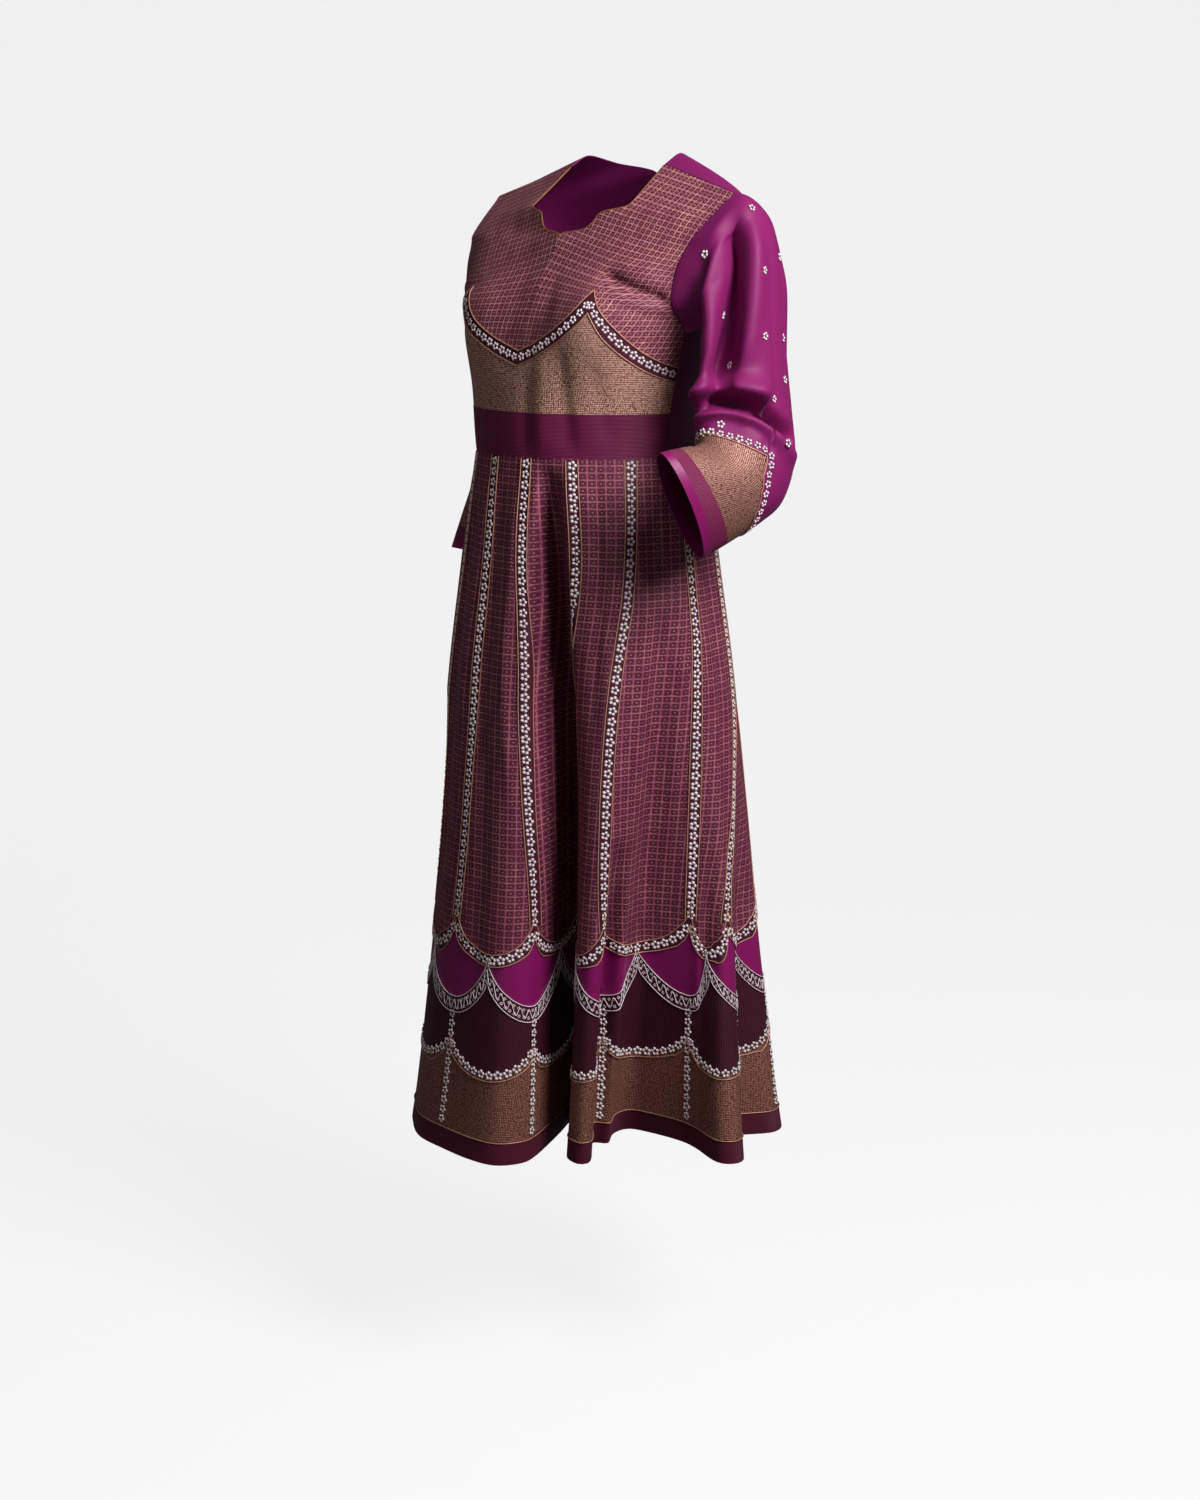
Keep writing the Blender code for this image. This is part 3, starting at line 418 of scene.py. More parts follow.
def ribbed(name, base, dark, pitch, rough, sheen):
    """Plain weave with fine ribs of a given pitch in millimetres running down the cloth. The grooves between
    the ribs are painted in the dark colour as shade, and the yarn adds a real uneven tone.
    """
    mat, tree, shader = fabric(name, base, rough, sheen=sheen)
    u, v = cloth_place(tree)
    # Painted shade: the grooves between the ribs take the dark colour; the yarn's flecks add a real uneven
    # tone
    painted_groove_shade = below(tree, from_middle(tree, u, pitch), 0.45, 0.4)
    yarn = flecks(tree, u, v, 0.5, 1.6, 4.0)
    shade = add(tree, "MAXIMUM", painted_groove_shade, add(tree, "MULTIPLY", yarn, 0.5), use_clamp=True)
    tint = add(tree, "ShaderNodeMix", {0: shade, 6: colour(base), 7: colour(dark)}, data_type="RGBA")
    woven(tree, shader, tint, add(tree, "SUBTRACT", 1.0, painted_groove_shade), 0.0006)
    return mat


def plain(name, base, rough, sheen, grain):
    """Plain cloth with a faint grain of a given size in millimetres."""
    mat, tree, shader = fabric(name, base, rough, sheen=sheen)
    u, v = cloth_place(tree)
    grain = flecks(tree, u, v, grain, grain, 6.0)
    bump = add(tree, "ShaderNodeBump", {"Strength": 0.35, "Distance": 0.0002, "Height": grain})
    tree.links.new(bump, shader["Normal"])
    return mat


def new_mesh(name, points, edges, faces):
    mesh = bpy.data.meshes.new(name)
    mesh.from_pydata(points, edges, faces)
    return mesh


def placed(name, data):
    """A new object of the scene with this mesh, light or camera."""
    obj = bpy.data.objects.new(name, data)
    bpy.context.scene.collection.objects.link(obj)
    return obj


def cloth(name, grid, lean, cut, mats, zones=None, wall=CLOTH):
    """A thin closed wall from outer points, outward directions and places on the cut cloth in metres.
    zones gives the number of the material of each row of faces."""
    rows, cols = grid.shape[:2]
    size = rows * cols
    outer, leans = grid.reshape(-1, 3), lean.reshape(-1, 3)
    r, c = np.meshgrid(np.arange(rows - 1), np.arange(cols - 1), indexing="ij")
    quad = (r * cols + c).reshape(-1, 1) + np.array([0, 1, cols + 1, cols])
    a, b, d = (outer[quad[:, k]] for k in (0, 1, 3))
    if (np.cross(b - a, d - a) * leans[quad[:, 0]]).sum() <= 0:
        quad = quad[:, ::-1]
    edges = np.concatenate([quad[:, [i, (i + 1) % 4]] for i in range(4)])
    _, inverse, counts = np.unique(np.sort(edges, axis=1), axis=0, return_inverse=True, return_counts=True)
    rim = edges[counts[inverse.ravel()] == 1]
    closing = np.stack([rim[:, 1], rim[:, 0], rim[:, 0] + size, rim[:, 1] + size], axis=1)
    faces = np.concatenate([quad, quad[:, ::-1] + size, closing])
    mesh = new_mesh(name, np.concatenate([outer, outer - leans * wall]).tolist(), [], faces.tolist())
    layer = mesh.uv_layers.new(name="cut")
    spots = np.tile(cut.reshape(-1, 2), (2, 1))
    loops = np.empty(len(mesh.loops), dtype=np.int32)
    mesh.loops.foreach_get("vertex_index", loops)
    layer.data.foreach_set("uv", spots[loops].astype(np.float32).ravel())
    mesh.shade_smooth()
    mesh.set_sharp_from_angle(angle=math.radians(62))
    for mat in mats:
        mesh.materials.append(mat)
    if zones is not None:
        zones = np.asarray(zones)
        index = zones[quad.min(axis=1) // cols]
        rim_index = zones[np.minimum(rim.min(axis=1) // cols, rows - 2)]
        index = np.concatenate([index, index, rim_index])
        mesh.polygons.foreach_set("material_index", index.astype(np.int32))
    obj = placed(name, mesh)
    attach(obj, "root")
    return obj


def on_cut(across, down):
    """Places on the cut cloth from distances across it and down it."""
    return np.stack(np.broadcast_arrays(across, down), axis=-1)


def stands_for(node):
    """Hides the node's own part, so that the piece of cloth made for it takes its place."""
    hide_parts(node)


# The light thread squares break the wine ground into a glinting grid.
skirt_squares = squares("brocade of pink thread squares on wine", 10.6, 8.2, 0.70,
                        "#661242", "#2C061A", "#E69C98", 0.85, 0.65, 0.6)
# Satin is smooth, so it is the brightest and cleanest colour on the skirt.
satin = plain("bright magenta satin", "#86155E", 0.38, 0.06, 0.8)
# The tucks give the dark wine band its upright lines, painted as shade in the grooves between them; they are
# drawn 3 mm apart, a little over life size.
pintucks = ribbed("wine cloth with fine pintucks", "#50122A", "#240612", 3.0, 0.6, 0.04)
# Bronze threads on wine look brown and grainy from a distance.
bronze_cloth = bronze("bronze thread brocade", "#341418", "#6A362E", "#B88070")

place = np.linspace(-1, 1, 31)
# Upper edge of each cloth and the hem band, with the rows of faces down to the next
stations = [(np.full_like(place, WAIST_Z), 104), (tongue(SQUARES_BOTTOM, place), 14),
            (lattice_top(place) - SATIN_TUCK, 12), (tongue(WINE_BOTTOM, place), 16),
            (np.full_like(place, HEM_BAND_TOP), 0)]
heights, zone_rows = [], []
for zone, ((start, rows), (end, _)) in enumerate(zip(stations, stations[1:])):
    heights += [start + (end - start) * i / rows for i in range(rows)]
    zone_rows += [zone] * rows
heights = np.array(heights + [stations[-1][0]])
for g in range(GORES):
    angle = gore_angle(g, place[None], heights)
    points, outward = skirt(angle, heights)
    across = (angle - gore_angle(g, 0.0, heights)) * skirt_metres(heights)
    cut = on_cut(across + WEAVE_STEP * g, WAIST_Z - heights)
    piece = cloth("gore_cloth_%02d" % (g + 1), points, outward, cut,
                  [skirt_squares, satin, pintucks, bronze_cloth], zone_rows)
    stands_for("gore_%02d" % (g + 1))


# Hem band. A 28 mm strip of dark wine cloth sewn round the foot of the gores, in two lengths that
# meet at the side seams.
HEM_LIFT = 0.0003
# A plain dull weave, lighter than the pintucked band, with painted shade in the grooves of its ribs.
hem_wine = ribbed("dark wine hem cloth", "#6E1A3A", "#3E0A20", 1.6, 0.6, 0.05)
for name, first in (("hem_band_front", -math.pi / 2), ("hem_band_back", math.pi / 2)):
    angle = first + np.linspace(0, math.pi, 151)[None]
    z = np.linspace(HEM_BAND_TOP, HEM_Z, 6)[:, None]
    points, outward = skirt(angle, z, HEM_LIFT)
    cut = on_cut(angle * skirt_metres(z), WAIST_Z - z)
    piece = cloth(name + "_cloth", points, outward, cut, [hem_wine], wall=CLOTH + HEM_LIFT)
    stands_for(name)


# Trim on the skirt. Ribbons of dark wine cloth edged with gold piping lie on the gore seams and round
# the tongues; a white corded lattice lies over the satin's lower edge.
RIBBON_HALF = 0.0072
RIBBON_LIFT = 0.0007
RIBBON_WALL = 0.0005
PIPING = 0.00065
PIPING_LIFT = RIBBON_LIFT + 0.0003
LATTICE_CORD = 0.0006
LATTICE_LIFT = RIBBON_LIFT + 0.0004
LATTICE_WAVES = 11                  # waves of the zigzag cord across one gore
LATTICE_SWING = 0.28                # how far they swing either way, as a share of its height
LEAF_SHARES = (0.27, 0.73)          # where the rows of small flowers lie in its height
JUNCTION_Z = -0.892                 # where the seam ribbons run into the tongue borders
LOW_STRIP_Z = -1.004                # where the seam's flowers go on below the lattice
FLOWER_PITCH = {"seam": 0.0124, "tongue": 0.0120, "lattice": 0.0068, "bust": 0.0108, "cuff": 0.0112}
PETALS = 5
PETAL_REACH, PETAL_LONG, PETAL_WIDE, PETAL_RISE = 0.0034, 0.0022, 0.0023, 0.0011


def beside(across, z, half, rows=5):
    """Heights of rows either side of a line given by metres across and height, mitred by its slope."""
    slope = np.clip(abs(np.gradient(z) / np.maximum(abs(np.gradient(across)), 1e-6)), 0, 1.3)
    return z[None] + np.linspace(1, -1, rows)[:, None] * (half * np.sqrt(1 + slope**2))[None]


def new_tree(name, **inputs):
    """A node tree with these named inputs after its geometry: the tree, its inputs and its outputs."""
    tree = bpy.data.node_groups.new(name, "GeometryNodeTree")
    for label, kind in {"Geometry": "Geometry", **inputs}.items():
        tree.interface.new_socket(label, in_out="INPUT", socket_type="NodeSocket" + kind)
    tree.interface.new_socket("Geometry", in_out="OUTPUT", socket_type="NodeSocketGeometry")
    return tree, tree.nodes.new("NodeGroupInput").outputs, tree.nodes.new("NodeGroupOutput").inputs


def ended(tree, shape, given, out):
    """Ends a tree in real geometry of the given material."""
    whole = add(tree, "GeometryNodeRealizeInstances", shape)
    done = add(tree, "GeometryNodeSetMaterial", {0: whole, "Material": given["Material"]})
    tree.links.new(done, out["Geometry"])
    return tree


def cord_tree():
    """A round cord follows the lines of the mesh."""
    tree, given, out = new_tree("cord along lines", Radius="Float", Sides="Int", Material="Material")
    line = add(tree, "GeometryNodeMeshToCurve", given["Geometry"])
    ring = add(tree, "GeometryNodeCurvePrimitiveCircle", {"Resolution": given["Sides"],
                                                         "Radius": given["Radius"]})
    body = add(tree, "GeometryNodeCurveToMesh", {0: line, "Profile Curve": ring, "Fill Caps": True})
    return ended(tree, body, given, out)


def flower_tree():
    """The shape stands on each point along its n and t."""
    tree, given, out = new_tree("shapes on points", Shape="Object", Size="Float", Seed="Int",
                                Material="Material")
    normal = add(tree, "GeometryNodeInputNamedAttribute", {"Name": "n"}, data_type="FLOAT_VECTOR")
    along = add(tree, "GeometryNodeInputNamedAttribute", {"Name": "t"}, data_type="FLOAT_VECTOR")
    up = add(tree, "FunctionNodeAlignRotationToVector", {"Vector": normal}, axis="Z")
    turn = add(tree, "FunctionNodeAlignRotationToVector", {"Rotation": up, "Vector": along}, axis="X",
               pivot_axis="Z")
    spread = add(tree, "FunctionNodeRandomValue", {"Min": 0.92, "Max": 1.08, "Seed": given["Seed"]},
                 data_type="FLOAT")
    size = add(tree, "MULTIPLY", spread, given["Size"])
    shape = add(tree, "GeometryNodeObjectInfo", {"Object": given["Shape"]}).node.outputs["Geometry"]
    points = add(tree, "GeometryNodeMeshToPoints", given["Geometry"])
    laid = add(tree, "GeometryNodeInstanceOnPoints", {"Points": points, "Instance": shape, "Rotation": turn,
                                                      "Scale": size})
    return ended(tree, laid, given, out)


def grown(obj, tree, **values):
    """Runs a node tree on the object with values for its named inputs and keeps the plain mesh."""
    made = obj.modifiers.new("grow", "NODES")
    made.node_group = tree
    for item in tree.interface.items_tree:
        if item.item_type == "SOCKET" and item.in_out == "INPUT" and item.name in values:
            made[item.identifier] = values[item.name]
    bpy.context.view_layer.update()
    ready = obj.evaluated_get(bpy.context.evaluated_depsgraph_get())
    mesh = bpy.data.meshes.new_from_object(ready)
    old = obj.data
    obj.modifiers.remove(made)
    obj.data = mesh
    bpy.data.meshes.remove(old)
    mesh.name = obj.name
    mesh.shade_smooth()
    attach(obj, "root")
    return obj


def tube(lines, name, radius, mat, sides=6):
    """Cords of one radius along several lines of points, closed at their ends."""
    verts, edges = [], []
    for line in lines:
        start = len(verts)
        verts += [tuple(p) for p in line]
        edges += [(start + i, start + i + 1) for i in range(len(line) - 1)]
    obj = placed(name, new_mesh(name, verts, edges, []))
    return grown(obj, CORDS, Radius=radius, Sides=sides, Material=mat)


def petals():
    """One stitched flower 11 mm across: five domed petals round an open middle."""
    verts, faces = [], []
    for k in range(PETALS):
        a = 2 * math.pi * k / PETALS + math.pi / 2
        out, side = np.array([math.cos(a), math.sin(a), 0]), np.array([-math.sin(a), math.cos(a), 0])
        start = len(verts)
        verts.append(tuple(out * PETAL_REACH + np.array([0, 0, PETAL_RISE])))
        for j in range(6):
            b = 2 * math.pi * j / 6
            reach = PETAL_REACH + PETAL_LONG * math.cos(b)
            verts.append(tuple(out * reach + side * PETAL_WIDE * math.sin(b)))
        faces += [(start, start + 1 + j, start + 1 + (j + 1) % 6) for j in range(6)]
        faces.append(tuple(start + 6 - j for j in range(6)))
    return bpy.data.objects.new("flower shape", new_mesh("flower shape", verts, [], faces))


def read_along(at, run, values):
    """Rows of values read at places along a run."""
    return np.stack([np.interp(at, run, column) for column in values.T], axis=1)


def along_line(points, outward, pitch):
    """Evenly spaced places on a line: points, outward directions and directions along it."""
    seg = np.linalg.norm(np.diff(points, axis=0), axis=1)
    run = np.concatenate([[0], np.cumsum(seg)])
    count = max(1, int(round(run[-1] / pitch)))
    at = (np.arange(count) + 0.5) * run[-1] / count
    return tuple(read_along(at, run, values) for values in (points, outward, np.gradient(points, axis=0)))


def flowers(name, places, mat, seed, size):
    """Stitched flowers on places from along_line, each of a slightly different size."""
    where, lean, ahead = (np.concatenate([p[i] for p in places]) for i in range(3))
    mesh = new_mesh(name, where.tolist(), [], [])
    for key, values in (("n", lean), ("t", ahead)):
        layer = mesh.attributes.new(key, "FLOAT_VECTOR", "POINT")
        layer.data.foreach_set("vector", values.astype(np.float32).ravel())
    return grown(placed(name, mesh), SCATTER, Shape=FLOWER, Size=size, Seed=seed, Material=mat)


def joined(name, objects):
    """Several plain pieces of one material as one piece."""
    with bpy.context.temp_override(active_object=objects[0], selected_editable_objects=objects,
                                   selected_objects=objects, object=objects[0]):
        bpy.ops.object.join()
    objects[0].name = name
    objects[0].data.name = name
    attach(objects[0], "root")
    return objects[0]


def on_gore(g, place, z, lift):
    """Points and outward directions at places across a gore and heights, raised by lift."""
    return skirt(gore_angle(g, place, z), z, lift)


CORDS = cord_tree()
SCATTER = flower_tree()
FLOWER = petals()
# A dull ribbon keeps the flowers on it bright; the cord's metal threads draw a thin warm line.
ribbon_wine = plain("dark wine ribbon", "#4A1028", 0.6, 0.05, 0.6)
gold_cord = fabric("rose gold cord", "#C8947C", 0.42, sheen=0.1, metal=0.25)[0]
# Matt white thread, painted a little pink for the light that the cloth round it reflects onto it.
white_thread = fabric("white embroidery thread", "#E6D9DC", 0.6, sheen=0.3)[0]

piping_lines, flower_places, white_lines, leaf_places, ribbon_grids = [], [], [], [], []
seam_z = np.linspace(WAIST_Z - 0.002, JUNCTION_Z, 90)
low_z = np.linspace(LOW_STRIP_Z, HEM_BAND_TOP + 0.002, 24)
steps = np.linspace(-1, 1, 5)
ends = np.linspace(-1, 1, 49)
fine = np.linspace(-1, 1, 181)
for g in range(GORES):
    shift = RIBBON_HALF / skirt_metres(seam_z)
    ribbon_grids.append(skirt(seam_angle(g, seam_z)[:, None] + shift[:, None] * steps[None], seam_z[:, None],
                              RIBBON_LIFT))
    for side in (-1, 1):
        piping_lines.append(skirt(seam_angle(g, seam_z) + side * shift, seam_z, PIPING_LIFT)[0])
    for z in (seam_z, low_z):
        flower_places.append(along_line(*skirt(seam_angle(g, z), z, RIBBON_LIFT), FLOWER_PITCH["seam"]))
    for edge, piped in ((SQUARES_BOTTOM, True), (WINE_BOTTOM, False)):
        line = tongue(edge, ends)
        z = beside(gore_angle(g, ends, line) * skirt_metres(line), line, RIBBON_HALF)
        if piped:
            ribbon_grids.append(on_gore(g, ends[None], z, RIBBON_LIFT))
            piping_lines.append(on_gore(g, ends, z[0], PIPING_LIFT)[0])
        piping_lines.append(on_gore(g, ends, z[-1], PIPING_LIFT)[0])
        middle = on_gore(g, ends[1:-1], line[1:-1], RIBBON_LIFT)
        flower_places.append(along_line(*middle, FLOWER_PITCH["tongue"]))
    high, low = lattice_top(ends), lattice_bottom(ends)
    z = high[None] + (low - high)[None] * np.linspace(0, 1, 5)[:, None]
    ribbon_grids.append(on_gore(g, ends[None], z, RIBBON_LIFT * 0.6))
    for z in (high, low):
        white_lines.append(on_gore(g, ends, z, LATTICE_LIFT)[0])
    high, low = lattice_top(fine), lattice_bottom(fine)
    z = high + (low - high) * (0.5 + LATTICE_SWING * np.sin(fine * LATTICE_WAVES * math.pi))
    white_lines.append(on_gore(g, fine, z, LATTICE_LIFT)[0])
    for share in LEAF_SHARES:
        z = high + (low - high) * share
        leaf_places.append(along_line(*on_gore(g, fine, z, RIBBON_LIFT), FLOWER_PITCH["lattice"]))
rim = np.linspace(-math.pi, math.pi, 600)
piping_lines.append(skirt(rim, np.full_like(rim, HEM_BAND_TOP - 0.001), 0.0008)[0])

ribbons = [cloth("ribbon_%03d" % k, points, outward, points[..., [0, 2]], [ribbon_wine], wall=RIBBON_WALL)
           for k, (points, outward) in enumerate(ribbon_grids)]
skirt_ribbons = joined("skirt_ribbons", ribbons)
skirt_piping = tube(piping_lines, "skirt_piping", PIPING, gold_cord)
skirt_lattice = tube(white_lines, "skirt_lattice", LATTICE_CORD, white_thread, sides=5)
skirt_flowers = flowers("skirt_flowers", flower_places, white_thread, 4, 1.10)
lattice_flowers = flowers("lattice_flowers", leaf_places, white_thread, 5, 0.40)


# Bodice. Two front panels of small-squared brocade down to a scalloped seam under the bust, a bronze
# midriff in two halves, a wine waistband in front, and a plain crepe back; lined and sewn.
BAND_TOP_Z = -0.285
BAND_LIFT = 0.0004
FRONT = {
    "row": (0.0, 1.0, 2.0, 3.0, 4.0, 5.0, 6.0, 7.0, 8.0, 9.0, 10.0, 11.0, 12.0),
    "in_x": (0.076, 0.0775, 0.079, 0.05, 0.041, 0.03, 0.0, 0.0, 0.0, 0.0, 0.0, 0.0, 0.0),
    "in_y": (-0.006, -0.034, -0.062, -0.078, -0.083, -0.087, -0.095, -0.105, -0.121, -0.13, -0.134,
             -0.132, -0.13),
    "in_z": (-0.004, -0.027, -0.049, -0.0585, -0.07, -0.078, -0.086, -0.115, -0.15, -0.19, -0.24, -0.285,
             -0.336),
    "out_x": (0.19, 0.186, 0.181, 0.177, 0.173, 0.17, 0.166, 0.16, 0.158, 0.161, 0.155, 0.149, 0.1423),
    "out_y": (-0.012, -0.023, -0.034, -0.041, -0.047, -0.052, -0.055, -0.062, -0.058, -0.03, -0.028,
              -0.026, -0.0246),
    "out_z": (-0.038, -0.049, -0.062, -0.071, -0.079, -0.087, -0.096, -0.125, -0.16, -0.195, -0.242,
              -0.285, -0.336),
    "round": (0.0, 0.1, 0.15, 0.2, 0.25, 0.3, 0.4, 0.55, 0.75, 0.9, 1.0, 1.0, 1.0),
}
BACK = {
    "row": (0.0, 1.0, 2.0, 3.0, 4.0, 5.0, 6.0, 7.0, 8.0, 9.0, 10.0),
    "in_x": (0.076, 0.0745, 0.055, 0.0, 0.0, 0.0, 0.0, 0.0, 0.0, 0.0, 0.0),
    "in_y": (-0.005, 0.022, 0.052, 0.067, 0.085, 0.105, 0.12, 0.13, 0.132, 0.131, 0.13),
    "in_z": (-0.0034, 0.009, 0.0, -0.014, -0.05, -0.1, -0.16, -0.205, -0.245, -0.285, -0.336),
    "out_x": (0.19, 0.1895, 0.188, 0.184, 0.179, 0.172, 0.164, 0.161, 0.155, 0.149, 0.1423),
    "out_y": (-0.011, 0.004, 0.02, 0.036, 0.046, 0.043, 0.02, -0.03, -0.028, -0.026, -0.0246),
    "out_z": (-0.0374, -0.04, -0.05, -0.07, -0.095, -0.125, -0.165, -0.195, -0.242, -0.285, -0.336),
    "round": (0.0, 0.25, 0.55, 0.85, 0.9, 0.94, 0.97, 1.0, 1.0, 1.0, 1.0),
}
BACK_COLUMNS = {
    "top_row": (3.0, 2.55, 2.0, 1.0, 0.0, 0.0, 0.0, 0.0, 0.0, 0.0, 0.0),
    "top_s": (0.0, 0.0, 0.0, 0.0, 0.0, 0.17, 0.34, 0.51, 0.68, 0.84, 1.0),
    "low_s": (0.0, 0.13, 0.24, 0.33, 0.41, 0.51, 0.61, 0.71, 0.81, 0.91, 1.0),
}
SIDE_ANGLE = math.radians(79.0)
SIDE_SEAM = {"z0": -0.195, "x0": 0.1610, "y0": -0.0300, "z1": -0.336, "x1": 0.1423, "y1": -0.0246}
FAR_FULLNESS = (0.008, 0.012)       # the wearer's right front stands out and forward beside the arm
FAR_ACROSS = (0.25, 1.9, 0.6)       # where it does so, as windows across the front and down from the neck
FAR_DOWN = (0.042, 0.195, 0.050)
BUST = {"x": 0.088, "z": -0.178, "out": 0.022, "wide": 0.050, "high": 0.055}
SCALLOP_PEAK = 0.435                # where the scallop peaks, as a share of the way to the side
SCALLOP = {
    "in_s": (0.0, 0.12, 0.25, 0.36, 0.435),
    "in_z": (-0.224, -0.213, -0.195, -0.175, -0.158),
    "out_s": (0.435, 0.5, 0.6, 0.74, 0.87, 1.0),
    "out_z": (-0.158, -0.18, -0.202, -0.222, -0.234, -0.241),
}
FAR_PEAK = 0.53                     # where the scallop of the wearer's right front peaks
GRAIN_TURN = math.radians(14)       # the chest cloth's grain runs in from the shoulders
GRAIN_FADE = (-0.195, -0.080)       # heights where that turn begins and is full
GRAIN_PIVOT = (0.100, -0.140)       # the place that it turns about, across and up
# Creases of the fronts and the back: side (0 both), from x, z to x, z, half width, depth (ridges
# positive)
FRONT_CREASES = (
    (1, 0.086, -0.128, 0.17, -0.164, 0.0065, -0.0105), (1, 0.098, -0.15, 0.17, -0.186, 0.007, -0.003),
    (1, 0.105, -0.116, 0.17, -0.142, 0.008, 0.004), (1, 0.066, -0.21, 0.072, -0.332, 0.008, -0.0034),
    (1, 0.04, -0.215, 0.044, -0.334, 0.011, 0.0028), (1, 0.014, -0.235, 0.018, -0.334, 0.01, -0.0034),
    (1, 0.1, -0.222, 0.112, -0.32, 0.008, -0.0018), (-1, 0.095, -0.135, 0.165, -0.16, 0.007, -0.0036),
    (-1, 0.07, -0.21, 0.075, -0.32, 0.008, -0.0018), (1, 0.02, -0.12, 0.035, -0.19, 0.01, -0.0016),
    (-1, 0.02, -0.115, 0.04, -0.19, 0.01, -0.0018), (0, 0.078, -0.29, 0.08, -0.336, 0.006, -0.0012),
)
BACK_CREASES = (
    (0, 0.12, -0.1, 0.165, -0.165, 0.009, -0.0034), (0, 0.085, -0.12, 0.15, -0.2, 0.009, 0.0026),
    (0, 0.04, -0.06, 0.07, -0.18, 0.011, -0.0022), (1, 0.06, -0.23, 0.075, -0.336, 0.009, -0.003),
    (-1, 0.055, -0.22, 0.065, -0.336, 0.009, -0.0026), (1, 0.02, -0.24, 0.018, -0.336, 0.008, 0.0022),
    (-1, 0.095, -0.25, 0.1, -0.336, 0.008, 0.0022),
)


def half_panel(table, side, s, row):
    """Points on one half of the front or back, s from the middle to the side and row down its table."""
    s, row = np.broadcast_arrays(np.asarray(s, float), np.asarray(row, float))
    ix, iy, iz, ox, oy, oz, bow = (smooth(table["row"], table[k], row) for k in
                                   ("in_x", "in_y", "in_z", "out_x", "out_y", "out_z", "round"))
    f = (oz - SIDE_SEAM["z0"]) / (SIDE_SEAM["z1"] - SIDE_SEAM["z0"])
    low = oz <= SIDE_SEAM["z0"]
    ox = np.where(low, SIDE_SEAM["x0"] + (SIDE_SEAM["x1"] - SIDE_SEAM["x0"]) * f, ox)
    oy = np.where(low, SIDE_SEAM["y0"] + (SIDE_SEAM["y1"] - SIDE_SEAM["y0"]) * f, oy)
    x = ix + (ox - ix) * ((1 - bow) * s + bow * np.sin(SIDE_ANGLE * s) / math.sin(SIDE_ANGLE))
    y = iy + (oy - iy) * ((1 - bow) * s + bow * (1 - np.cos(SIDE_ANGLE * s)) / (1 - math.cos(SIDE_ANGLE)))
    z = iz + (oz - iz) * s
    # The bust and the creases fade out toward the middle seam and the side
    edge = np.minimum(1, s / 0.15) * np.minimum(1, (1 - s) / 0.2)
    if table is FRONT:
        off_x, off_z = (x - BUST["x"]) / BUST["wide"], (z - BUST["z"]) / BUST["high"]
        swell = BUST["out"] * np.exp(-off_x**2 - off_z**2)
        y = y - swell * edge
        x = x + 0.45 * swell * edge
        if side < 0:
            full = window(s, *FAR_ACROSS) * window(-z, *FAR_DOWN)
            x = x + FAR_FULLNESS[0] * full
            y = y - FAR_FULLNESS[1] * full
    back = -1.0 if table is FRONT else 1.0
    for which, x0, z0, x1, z1, wide, deep in (FRONT_CREASES if table is FRONT else BACK_CREASES):
        if which in (0, side):
            dx, dz = x1 - x0, z1 - z0
            along = np.clip(((x - x0) * dx + (z - z0) * dz) / (dx * dx + dz * dz), 0, 1)
            off = np.hypot(x - x0 - along * dx, z - z0 - along * dz)
            rise = np.minimum(1, (1 - abs(2 * along - 1)) * 2.5 + 0.25)
            fade = np.minimum(1, edge * 1.5)
            y = y + back * deep * rise * fade * np.exp(-(off / wide)**2)
    middle = centre(z)
    return np.stack([middle[0] + side * x, middle[1] + y, z], axis=-1)


def row_at_height(table, s, z):
    """The row of a half panel that lies at a height."""
    s, z = np.broadcast_arrays(np.asarray(s, float), np.asarray(z, float))
    low, high = np.zeros(s.shape), np.full(s.shape, table["row"][-1])
    for _ in range(26):
        mid = (low + high) / 2
        iz, oz = smooth(table["row"], table["in_z"], mid), smooth(table["row"], table["out_z"], mid)
        above = iz + (oz - iz) * s > z
        low, high = np.where(above, mid, low), np.where(above, high, mid)
    return (low + high) / 2


def panel(table, side, s, row, lift=0.0):
    """Points and outward directions on a half panel, raised by lift."""
    s, row = np.broadcast_arrays(np.asarray(s, float), np.asarray(row, float))
    right, left = (half_panel(table, side, np.clip(s + step, 0, 1), row) for step in (0.004, -0.004))
    last = table["row"][-1]
    lower, upper = (half_panel(table, side, s, np.clip(row + step, 0, last)) for step in (0.02, -0.02))
    n = np.cross(right - left, lower - upper)
    n /= np.maximum(np.linalg.norm(n, axis=-1, keepdims=True), 1e-9)
    p = half_panel(table, side, s, row)
    # Outward is away from a point on the body's middle line, a little lower
    away = p - np.stack([*centre(p[..., 2]), p[..., 2] - 0.08], axis=-1)
    n = n * np.sign((n * away).sum(axis=-1, keepdims=True))
    return p + n * lift, n


def cut_places(points, side):
    """Distances on the cut cloth: across from the middle line, and down."""
    step = np.linalg.norm(np.diff(points, axis=1), axis=2)
    start = abs(points[:, :1, 0] - centre(points[:, :1, 2])[0])
    across = np.concatenate([start, start + np.cumsum(step, axis=1)], axis=1) - GRAIN_PIVOT[0]
    high = points[..., 2] - GRAIN_PIVOT[1]
    turn = GRAIN_TURN * ease((points[..., 2] - GRAIN_FADE[0]) / (GRAIN_FADE[1] - GRAIN_FADE[0]))
    return on_cut((across * np.cos(turn) - high * np.sin(turn)) * side,
                  -(high * np.cos(turn) + across * np.sin(turn)))


def front_share(side, s):
    """Share across a front at a share of its scallop, whose peak lies nearer the side on the far front."""
    return s if side > 0 else np.interp(s, (0.0, SCALLOP_PEAK, 1.0), (0.0, FAR_PEAK, 1.0))


def scallop(s):
    """Height of the scalloped seam at a share of its length."""
    return np.where(np.asarray(s) < SCALLOP_PEAK, smooth(SCALLOP["in_s"], SCALLOP["in_z"], s),
                    smooth(SCALLOP["out_s"], SCALLOP["out_z"], s))


